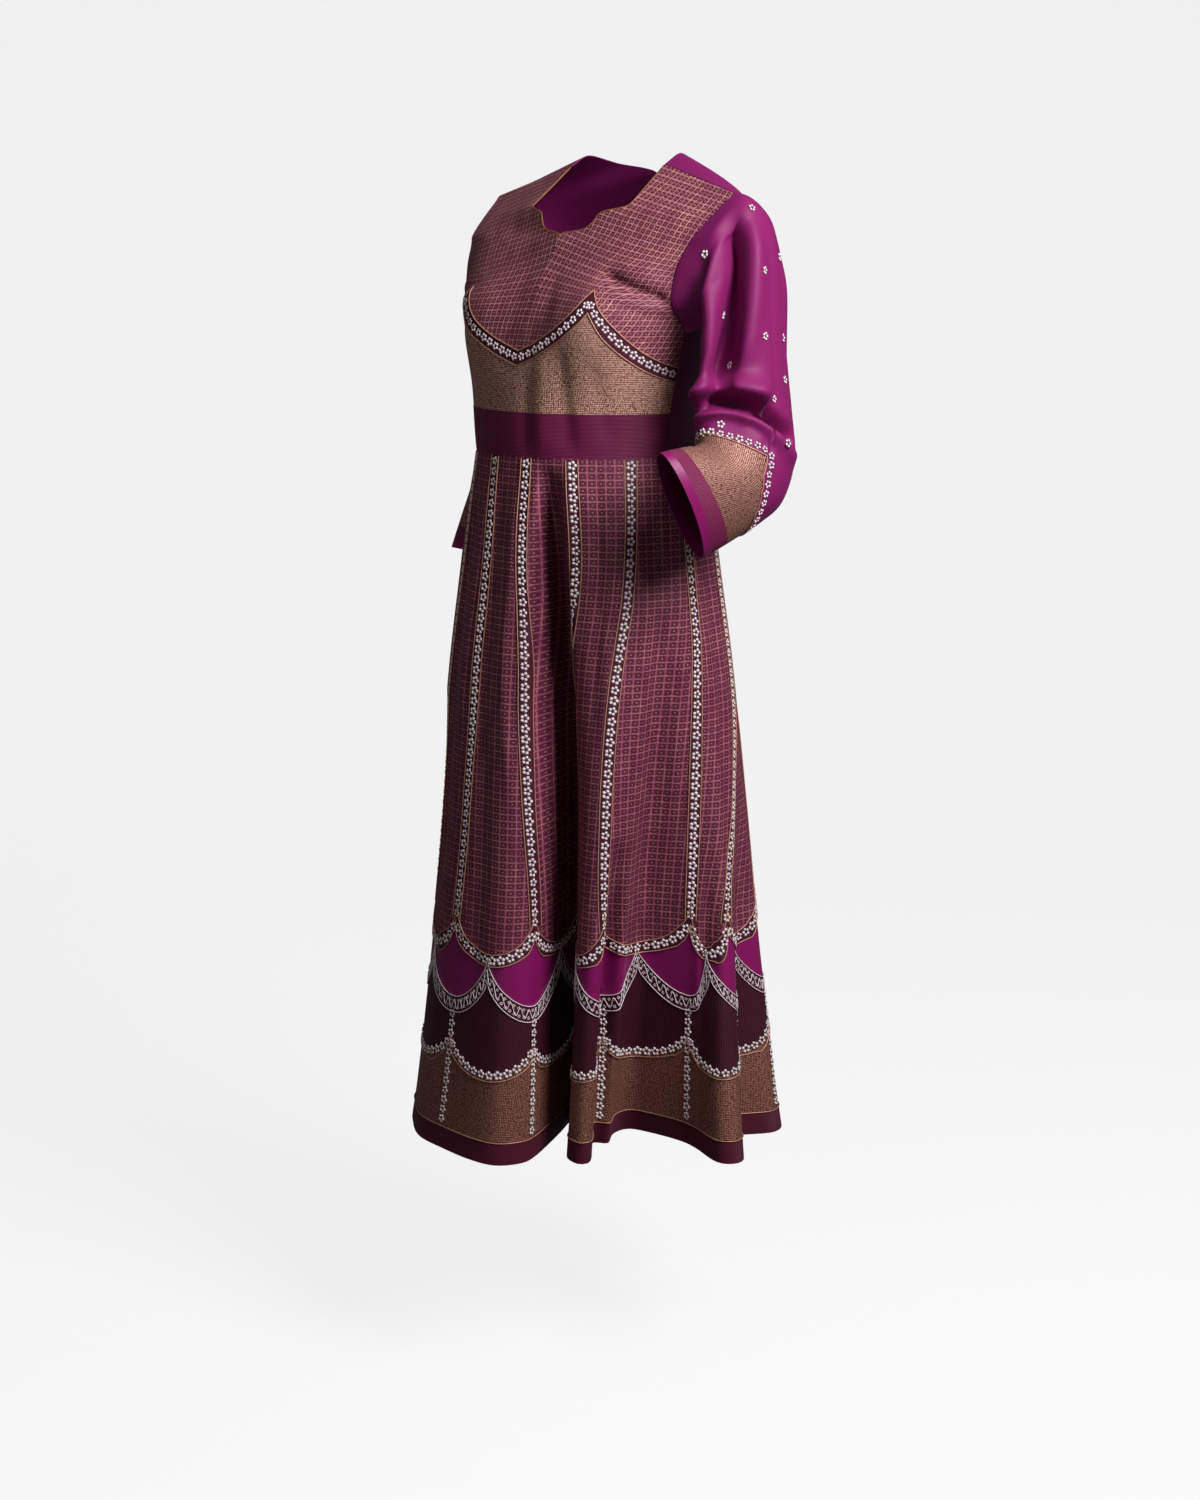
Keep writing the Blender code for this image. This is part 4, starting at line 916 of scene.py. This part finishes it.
# The same brocade as the skirt's in a smaller and denser grid.
front_squares = squares("small-squared brocade", 7.2, 6.4, 0.85,
                        "#6C1046", "#280414", "#E8A298", 0.8, 1.0, 0.7)
# Paler bronze than the skirt's, and the lightest cloth of the dress.
midriff_bronze = bronze("bronze thread midriff brocade", "#44121C", "#88504A", "#FAC8B0")
# Fine ribs run along the band, with painted shade in their grooves, and it has a soft sheen.
waistband_cloth = ribbed("wine waistband weave", "#8C1E58", "#561034", 1.5, 0.6, 0.1)
# Crepe is dull and even, so only its folds show.
crepe = plain("purple crepe", "#7E145C", 0.60, 0.06, 0.7)
even = np.linspace(0, 1, 57)[None]
for side, word in ((1, "left"), (-1, "right")):
    s = front_share(side, even)
    end = row_at_height(FRONT, s, scallop(even))
    rows = np.concatenate([np.linspace(0, 6, 61)[:-1, None] + 0 * s,
                           6 + (end - 6) * np.linspace(0, 1, 45)[:, None]])
    points, outward = panel(FRONT, side, s, rows)
    piece = cloth("bodice_front_cloth_" + word, points, outward, cut_places(points, side), [front_squares])
    stands_for("bodice_front_" + word)
    rows = end + (row_at_height(FRONT, s, BAND_TOP_Z) - end) * np.linspace(0, 1, 41)[:, None]
    points, outward = panel(FRONT, side, s, rows)
    piece = cloth("midriff_front_cloth_" + word, points, outward, cut_places(points, side), [midriff_bronze])
    stands_for("midriff_front_" + word)


def both_sides(half):
    """A grid across both halves from a function of side that returns points and directions."""
    right, left = half(-1), half(1)
    return tuple(np.concatenate([right[k][:, :0:-1], left[k]], axis=1) for k in range(2))


def waistband_half(side):
    z = np.linspace(BAND_TOP_Z, WAIST_Z, 13)[:, None]
    return panel(FRONT, side, even, row_at_height(FRONT, even, z), BAND_LIFT)


def back_half(side):
    columns = np.linspace(0, 10, 71)
    top_row, top_s, low_s = (np.interp(columns, range(11), BACK_COLUMNS[k])[None]
                             for k in ("top_row", "top_s", "low_s"))
    down = np.linspace(0, 1, 101)[:, None]
    row = top_row + (10.0 - top_row) * down
    settle = np.clip((row - top_row) / np.maximum(3.0 - top_row, 0.001), 0, 1)
    settle = np.where(down > 0, settle, 0.0)
    return panel(BACK, side, top_s + (low_s - top_s) * settle, row)


points, outward = both_sides(waistband_half)
span = np.cumsum(np.concatenate([[0], np.linalg.norm(np.diff(points[0], axis=0), axis=1)]))
cut = on_cut(-points[..., 2], span[None])
piece = cloth("waistband_front_cloth", points, outward, cut, [waistband_cloth])
stands_for("waistband_front")
points, outward = both_sides(back_half)
piece = cloth("bodice_back_cloth", points, outward, on_cut(points[..., 0], -points[..., 2]), [crepe])
stands_for("bodice_back")


# Bust border and neck cord. A flowered ribbon with gold piping covers the scalloped seam; a gold cord
# edges the front neckline, and both fronts meet in a seam down the middle.
BUST_BORDER_HALF = 0.0080
BUST_LIFT = 0.0006
BUST_PIPING_LIFT = 0.0009
SCALLOP_METRES = 0.20               # across a front from the middle to the side
NECK_CORD = 0.0009
NECK_CORD_SUNK = 0.0006
bust_lines, bust_places, bust_ribbons, neck_lines = [], [], [], []
for side in (1, -1):
    pair = [[], []]
    for start, stop, count in ((0.003, SCALLOP_PEAK - 0.0001, 41), (SCALLOP_PEAK + 0.0001, 0.997, 51)):
        part = np.linspace(start, stop, count)
        s = front_share(side, part)
        z = beside(SCALLOP_METRES * s, scallop(part), BUST_BORDER_HALF)
        points, outward = panel(FRONT, side, s[None], row_at_height(FRONT, s[None], z), BUST_LIFT)
        bust_ribbons.append(cloth("bust_ribbon_%d" % len(bust_ribbons), points, outward,
                                  cut_places(points, side), [ribbon_wine], wall=RIBBON_WALL))
        for line, row in zip(pair, (z[0], z[-1])):
            line.append(panel(FRONT, side, s, row_at_height(FRONT, s, row), BUST_PIPING_LIFT)[0])
        middle = panel(FRONT, side, s, row_at_height(FRONT, s, scallop(part)), BUST_LIFT)
        bust_places.append(along_line(*middle, FLOWER_PITCH["bust"]))
    bust_lines += [np.concatenate(line) for line in pair]
    neck_lines.append(panel(FRONT, side, 0.0, np.linspace(0.05, 6.0, 90), -NECK_CORD_SUNK)[0][::side])
bust_ribbon = joined("bust_ribbon", bust_ribbons)
# The neck's cord is darker and greener than the rose gold one.
neck_gold = fabric("olive gold cord", "#8A6236", 0.5, sheen=0.1, metal=0.2)[0]
bust_piping = tube(bust_lines, "bust_piping", PIPING, gold_cord)
bust_flowers = flowers("bust_flowers", bust_places, white_thread, 9, 0.96)
neck_line = np.concatenate([neck_lines[0], neck_lines[1][1:]])
neck_cord = tube([neck_line], "neck_cord_twisted", NECK_CORD, neck_gold, sides=8)
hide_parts("neck_cord")


# Sleeves. Wide crepe sleeves with scattered stitched flowers; each ends in a pointed bronze cuff under
# a row of flowers, a wine band and a bright satin edge. The left forearm is bent forward.
SLEEVE_LEFT = {
    "w": (0.08, 0.16, 0.26, 0.38, 0.5, 0.6, 0.7, 0.78, 0.86, 0.93, 1.0),
    "cx": (0.196, 0.204, 0.207, 0.209, 0.213, 0.22, 0.224, 0.225, 0.226, 0.225, 0.221),
    "cy": (-0.012, -0.015, -0.018, -0.021, -0.023, -0.0265, -0.041, -0.062, -0.088, -0.113, -0.137),
    "cz": (-0.132, -0.163, -0.2, -0.245, -0.2895, -0.321, -0.3495, -0.3605, -0.3665, -0.3725, -0.379),
    "drop": (19.0, 28.0, 37.0, 46.0, 58.0, 71.0, 84.0, 90.0, 90.0, 90.0, 90.0),
    "face": (0.0, 0.0, 0.0, 2.0, 6.0, 19.0, 36.0, 46.6, 56.0, 60.6, 63.4),
    "p": (0.077, 0.07, 0.062, 0.057, 0.051, 0.05, 0.048, 0.044, 0.038, 0.033, 0.029),
    "q": (0.057, 0.059, 0.06, 0.06, 0.061, 0.064, 0.0655, 0.064, 0.0645, 0.067, 0.069),
    "fold": (0.001, 0.004, 0.008, 0.01, 0.008, 0.004, 0.001, 0.0, 0.0, 0.0, 0.0),
}
SLEEVE_RIGHT = {
    "w": (0.08, 0.16, 0.26, 0.38, 0.5, 0.62, 0.74, 0.87, 1.0),
    "cx": (-0.201, -0.209, -0.214, -0.216, -0.217, -0.218, -0.219, -0.224, -0.232),
    "cy": (0.018, 0.028, 0.036, 0.038, 0.036, 0.03, 0.02, 0.007, -0.004),
    "cz": (-0.132, -0.163, -0.205, -0.255, -0.305, -0.352, -0.398, -0.444, -0.487),
    "drop": (19.0, 28.0, 38.0, 52.0, 66.0, 76.0, 82.0, 85.0, 87.0),
    "face": (0.0, 0.0, 0.0, 0.0, 2.0, 4.0, 8.0, 12.0, 14.0),
    "p": (0.077, 0.07, 0.061, 0.053, 0.046, 0.042, 0.039, 0.037, 0.036),
    "q": (0.05, 0.05, 0.05, 0.05, 0.05, 0.05, 0.052, 0.055, 0.056),
    "fold": (0.001, 0.003, 0.006, 0.007, 0.006, 0.005, 0.003, 0.001, 0.0),
}
FOREARM_TURN = {1: 20.0, -1: 0.0}
SLEEVE_LENGTH = 0.47
EDGE_BAND = 0.015
WINE_BAND = 0.026
CUFF_FLOWERS_UP = 0.0070            # the row of flowers lies this far above the cuff's edge
SLEEVE_AROUND = 144
ARMHOLE_CENTRE = (-0.008, -0.117)   # its y and z
ARMHOLE_GAP = 0.0012
SLEEVE_ROUND = 0.36                 # metres round the sleeve, for distances between places on it
ELBOW = (
    (0.3, 0.43), (0.25, 0.455), (0.183, 0.473), (0.117, 0.498), (0.062, 0.527), (0.013, 0.552),
    (-0.06, 0.572), (-0.14, 0.575),
)
# Folds of the sleeves: side (0 both), half width and depth in metres (ridges positive), how far down the
# sleeve the whole line is moved, and the places (share round, from the top over the front; share along)
SLEEVE_FOLDS = (
    (1, 0.014, -0.033, 0.0, ((0.12, 0.04), (0.105, 0.105), (0.133, 0.197), (0.163, 0.326), (0.204, 0.47))),
    (1, 0.011, 0.012, 0.0, ((0.188, 0.06), (0.235, 0.134), (0.225, 0.31), (0.246, 0.444))),
    (1, 0.01, -0.013, 0.0, ((0.33, 0.06), (0.292, 0.297), (0.271, 0.43))),
    (1, 0.009, -0.005, 0.0, ((0.225, 0.046), (0.29, 0.12), (0.262, 0.25))),
    (1, 0.014, 0.007, 0.0, ((0.04, 0.09), (0.06, 0.25), (0.1, 0.42))),
    (1, 0.0085, -0.029, 0.0, ELBOW),
    (1, 0.014, 0.018, -0.042, ELBOW[:6]),
    (1, 0.01, 0.008, 0.038, ELBOW),
    (1, 0.008, -0.004, 0.0, ((0.1, 0.56), (0.04, 0.6), (0.02, 0.64))),
    (0, 0.01, -0.005, 0.0, ((0.9, 0.12), (0.87, 0.3), (0.9, 0.48))),
    (0, 0.011, 0.0045, 0.0, ((0.82, 0.09), (0.79, 0.35), (0.83, 0.56))),
    (0, 0.01, -0.006, 0.0, ((0.74, 0.1), (0.71, 0.34), (0.76, 0.6))),
    (0, 0.011, -0.0045, 0.0, ((0.43, 0.16), (0.45, 0.42), (0.42, 0.62))),
    (-1, 0.012, -0.008, 0.0, ((0.13, 0.06), (0.15, 0.3), (0.19, 0.56))),
    (-1, 0.011, 0.005, 0.0, ((0.21, 0.08), (0.24, 0.3), (0.23, 0.6))),
    (-1, 0.009, -0.005, 0.0, ((0.31, 0.08), (0.29, 0.33), (0.26, 0.52))),
    (-1, 0.009, -0.005, 0.0, ((0.06, 0.5), (0.15, 0.56), (0.26, 0.54))),
)
# Upper edge of the cuff: share round the sleeve and share along it
CUFF_TOP = {
    "share": (-0.5, -0.4, -0.25, -0.15, -0.083, -0.013, 0.022, 0.03, 0.083, 0.146, 0.188, 0.242, 0.35,
              0.45, 0.5),
    "w": (0.8, 0.85, 0.86, 0.838, 0.808, 0.749, 0.702, 0.648, 0.644, 0.636, 0.63, 0.611, 0.66, 0.76, 0.8),
}


def armhole(side, count):
    """The edge of the bodice round an armhole, at even turns, a little outside it."""
    front = half_panel(FRONT, side, 1.0, np.linspace(0.0, 9.0, 91))
    rear = half_panel(BACK, side, 1.0, np.linspace(0.0, 7.0, 71))
    edge = np.concatenate([front, rear[::-1][1:]])
    turn = np.unwrap(np.arctan2(ARMHOLE_CENTRE[0] - edge[:, 1], edge[:, 2] - ARMHOLE_CENTRE[1]))
    at = np.arange(count) * 2 * math.pi / count
    at = np.where(at < turn[0], at + 2 * math.pi, at)
    ring = read_along(at, np.append(turn, turn[0] + 2 * math.pi), np.vstack([edge, edge[:1]]))
    ring[:, 0] += side * ARMHOLE_GAP
    return ring


def sleeve_ring(table, side, w, count):
    """The sleeve's edge at a share w of its length, as a tilted ring with a soft ripple."""
    cx, cy, cz, drop, face, p, q, fold = [float(smooth(table["w"], table[k], w)) for k in
                                          ("cx", "cy", "cz", "drop", "face", "p", "q", "fold")]
    turn, low, tip = math.radians(FOREARM_TURN[side]), math.radians(drop), math.radians(face)
    facing = math.cos(tip) * np.array([side * math.cos(low), 0.0, -math.sin(low)])
    facing += math.sin(tip) * np.array([-side * math.sin(turn), -math.cos(turn), 0.0])
    facing /= np.linalg.norm(facing)
    outward = np.array([side * math.sin(low), 0.0, math.cos(low)])
    outward -= facing * outward.dot(facing)
    outward /= np.linalg.norm(outward)
    frontward = np.cross(facing, outward) * side
    a = (2 * math.pi * np.arange(count) / count)[:, None]
    ripple = fold * np.sin(4 * a + 0.6 + 1.5 * w) * np.maximum(0.0, np.cos((a - 1.9) * 0.75))
    ring = outward * (p + ripple) * np.cos(a) + frontward * (q + ripple) * np.sin(a)
    return np.array([cx, cy, cz]) + ring


def fold_distance(share, levels, line):
    """Distance in metres of every place on a sleeve from a line of places, and how far along it."""
    steps = [math.hypot((c - a) * SLEEVE_ROUND, (d - b) * SLEEVE_LENGTH)
             for (a, b), (c, d) in zip(line, line[1:])]
    best, where, run = np.full((len(levels), len(share)), 9.0), np.zeros((len(levels), len(share))), 0.0
    for (a, b), (c, d), step in zip(line, line[1:], steps):
        x = ((share[None] - a + 0.5) % 1.0 - 0.5) * SLEEVE_ROUND
        y = (levels[:, None] - b) * SLEEVE_LENGTH
        vx, vy = (c - a) * SLEEVE_ROUND / step, (d - b) * SLEEVE_LENGTH / step
        f = np.clip(x * vx + y * vy, 0, step)
        off = np.hypot(x - f * vx, y - f * vy)
        where = np.where(off < best, (run + f) / sum(steps), where)
        best = np.minimum(best, off)
        run += step
    return best, where


def sleeve_surface(table, side, count, levels):
    """Points and outward directions of a sleeve by levels and places round it, from the armhole down."""
    hole = armhole(side, count)
    join = table["w"][0]
    first, after = sleeve_ring(table, side, join, count), sleeve_ring(table, side, join + 0.04, count)
    reach = np.linalg.norm(first - hole, axis=1, keepdims=True)
    lead = first - after
    lead *= reach / np.linalg.norm(lead, axis=1, keepdims=True)
    away = np.array([side, 0.0, 0.0] if side > 0 else [-0.8, 0.6, 0.0]) * reach
    rings = []
    for w in levels:
        u = w / join
        if w >= join:
            rings.append(sleeve_ring(table, side, w, count))
        else:
            rings.append((2 * u**3 - 3 * u**2 + 1) * hole + (u**3 - 2 * u**2 + u) * away
                         + (3 * u**2 - 2 * u**3) * first - (u**3 - u**2) * lead)
    rings = np.array(rings)
    n = -table_normals(rings) * side
    share = np.arange(count) / count
    raise_by = np.zeros(rings.shape[:2])
    for which, wide, deep, moved, line in SLEEVE_FOLDS:
        if which in (0, side):
            off, along = fold_distance(share, levels, [(a, b + moved) for a, b in line])
            fade = np.clip(4.5 * np.minimum(along, 1 - along), 0, 1)
            fade = fade * (2 - fade) * np.clip(levels / 0.05, 0, 1)[:, None]
            raise_by += deep * np.exp(-(off / wide)**2) * fade
    rings = rings + n * raise_by[..., None]
    return rings, -table_normals(rings) * side


def cuff_top(share):
    """Share along the sleeve of the cuff's upper edge, at shares round it."""
    return np.interp((np.asarray(share) + 0.5) % 1.0 - 0.5, CUFF_TOP["share"], CUFF_TOP["w"])


SLEEVES = {side: sleeve_surface(table, side, SLEEVE_AROUND, np.linspace(0, 1, 201))
           for side, table in ((1, SLEEVE_LEFT), (-1, SLEEVE_RIGHT))}


def sleeve(side, share, w, lift=0.0):
    """Points and outward directions on a sleeve at places round it and along it, raised by lift."""
    return on_surface(SLEEVES[side], share, w, lift)


# Flowers scattered on each sleeve: share round it, share along it
SLEEVE_FLOWERS = (
    (0.017, 0.067), (0.212, 0.05), (0.025, 0.205), (0.171, 0.243), (0.025, 0.36), (0.15, 0.385),
    (0.996, 0.502), (0.188, 0.561), (0.975, 0.603), (0.3, 0.18), (0.28, 0.34), (0.88, 0.14), (0.86, 0.33),
    (0.88, 0.44), (0.78, 0.23), (0.74, 0.5), (0.64, 0.28), (0.6, 0.52), (0.52, 0.38), (0.42, 0.46),
    (0.4, 0.6), (0.7, 0.68), (0.82, 0.64), (0.56, 0.7),
)
# Darker than the midriff's bronze, as on the skirt.
cuff_bronze = bronze("bronze thread cuff brocade", "#381018", "#683632", "#C49280")
# A bright wine with fine ribs along the arm, with painted shade in their grooves.
cuff_wine = ribbed("wine cuff weave", "#96245C", "#60123A", 1.4, 0.6, 0.05)
share = 0.5 + np.arange(SLEEVE_AROUND + 1) / SLEEVE_AROUND
top = cuff_top(share)
edge_w = np.full_like(share, 1.0 - EDGE_BAND / SLEEVE_LENGTH)
wine_w = np.full_like(share, 1.0 - (EDGE_BAND + WINE_BAND) / SLEEVE_LENGTH)
fine = np.linspace(0, 1, 721)
cuff_lines, cuff_places, sleeve_places = [], [], []
for side, word in ((1, "left"), (-1, "right")):
    for stem, start, stop, rows, mat, kind, flat in (
            ("sleeve_", 0 * share, top, 120, crepe, "crepe", (0.42, 0.46)),
            ("cuff_", top, wine_w, 18, cuff_bronze, "bronze_brocade", (0.34, 0.07)),
            ("cuff_band_", wine_w, edge_w, 6, cuff_wine, "wine", (0.33, 0.03)),
            ("cuff_edge_", edge_w, np.ones_like(share), 5, satin, "satin", (0.33, 0.02))):
        w = start[None] + (stop - start)[None] * np.linspace(0, 1, rows + 1)[:, None]
        points, outward = sleeve(side, share[None], w)
        around = np.linalg.norm(np.diff(points, axis=1), axis=2).sum(axis=1)
        cut = on_cut(share[None] * around.mean(), w * SLEEVE_LENGTH)
        piece = cloth(stem + "cloth_" + word, points, outward, cut, [mat])
        stands_for(stem + word)
    edge = np.stack([fine * SLEEVE_ROUND, cuff_top(fine) * SLEEVE_LENGTH], axis=1)
    cuff_lines.append(sleeve(side, fine, cuff_top(fine), 0.0008)[0])
    ahead = np.pad(np.gradient(edge, axis=0), ((8, 8), (0, 0)), mode="wrap")
    ahead = np.stack([np.convolve(column, np.ones(17) / 17, "valid") for column in ahead.T], axis=1)
    ahead /= np.linalg.norm(ahead, axis=1, keepdims=True)
    edge += np.stack([ahead[:, 1], -ahead[:, 0]], axis=1) * CUFF_FLOWERS_UP
    middle = sleeve(side, edge[:, 0] / SLEEVE_ROUND, edge[:, 1] / SLEEVE_LENGTH, 0.0004)
    cuff_places.append(along_line(*middle, FLOWER_PITCH["cuff"]))
    for at, along in SLEEVE_FLOWERS:
        spot, lean = sleeve(side, np.array([at if side > 0 else at + 0.04]), np.array([along]), 0.0003)
        ahead = sleeve(side, np.array([at]), np.array([along + 0.02]))[0] - spot
        sleeve_places.append((spot, lean, ahead))
cuff_piping = tube(cuff_lines, "cuff_piping", 0.0007, gold_cord)
cuff_flowers = flowers("cuff_flowers", cuff_places, white_thread, 12, 0.9)
sleeve_flowers = flowers("sleeve_flowers", sleeve_places, white_thread, 15, 0.95)


# Stage. A pale seamless studio floor curving up behind, soft light from the front right and left, and
# the camera at the height of the chest, looking a little down.
FLOOR_Z = -1.48
FLOOR_HALF = 7.0
FLOOR_NEAR, FLOOR_BEND, FLOOR_TOP = -6.0, 2.2, 7.0
BEND_RADIUS = 2.0
profile = [(FLOOR_NEAR, 0.0), (FLOOR_BEND, 0.0)]
profile += [(FLOOR_BEND + BEND_RADIUS * math.sin(a), BEND_RADIUS - BEND_RADIUS * math.cos(a))
            for a in np.linspace(0.1, math.pi / 2, 16)]
profile.append((FLOOR_BEND + BEND_RADIUS, FLOOR_TOP))
verts = [tuple(inward * reach + sideways * wide + np.array([0, 0, FLOOR_Z + up]))
         for reach, up in profile for wide in (-FLOOR_HALF, FLOOR_HALF)]
faces = [(2 * k, 2 * k + 1, 2 * k + 3, 2 * k + 2) for k in range(len(profile) - 1)]
studio_floor = new_mesh("studio_floor", verts, [], faces)
studio_floor.shade_smooth()
# Paper lit from all round: matt, and nearly as bright in the shade as in the light.
paper, _, shader = fabric("pale lit studio paper", "#6A6A6A", 0.95)
shader["Specular IOR Level"].default_value = 0.0
shader["Emission Color"].default_value = colour("#F2F2F2")
shader["Emission Strength"].default_value = 0.95
studio_floor.materials.append(paper)
floor = placed("studio_floor", studio_floor)
floor.visible_diffuse = floor.visible_glossy = False


def lamp(name, place, aim, size, watts):
    data = bpy.data.lights.new(name, "AREA")
    data.shape = "RECTANGLE"
    data.size, data.size_y = size
    data.energy = watts
    obj = placed(name, data)
    obj.location = place
    way = np.array(aim) - np.array(place)
    yaw = math.atan2(way[1], way[0]) - math.pi / 2
    pitch = math.atan2(math.hypot(way[0], way[1]), -way[2])
    obj.rotation_euler = (pitch, 0.0, yaw)
    return obj


lamp("key_light", (1.72, -0.14, 0.86), (0.0, 0.0, -0.30), (0.9, 1.1), 62)
lamp("fill_light", (0.9, -3.0, 0.3), (0, 0, -0.5), (1.6, 2.0), 8)
lamp("top_light", (0.2, -0.3, 2.2), (0, 0, -0.6), (1.4, 1.4), 2)
world = bpy.data.worlds.new("studio")
world.use_nodes = True
world.node_tree.nodes["Background"].inputs[0].default_value = colour("#F4F4F3")
world.node_tree.nodes["Background"].inputs[1].default_value = 0.075
bpy.context.scene.world = world
bpy.context.scene.view_settings.view_transform = "Standard"

view = bpy.data.cameras.new("camera")
view.lens = 59.4
view.sensor_width = 36.0
eye = placed("camera", view)
eye.location = (2.0656, -2.1758, -0.072)
eye.rotation_euler = (math.radians(78.0), 0.0, VIEW_TURN)
bpy.context.scene.camera = eye
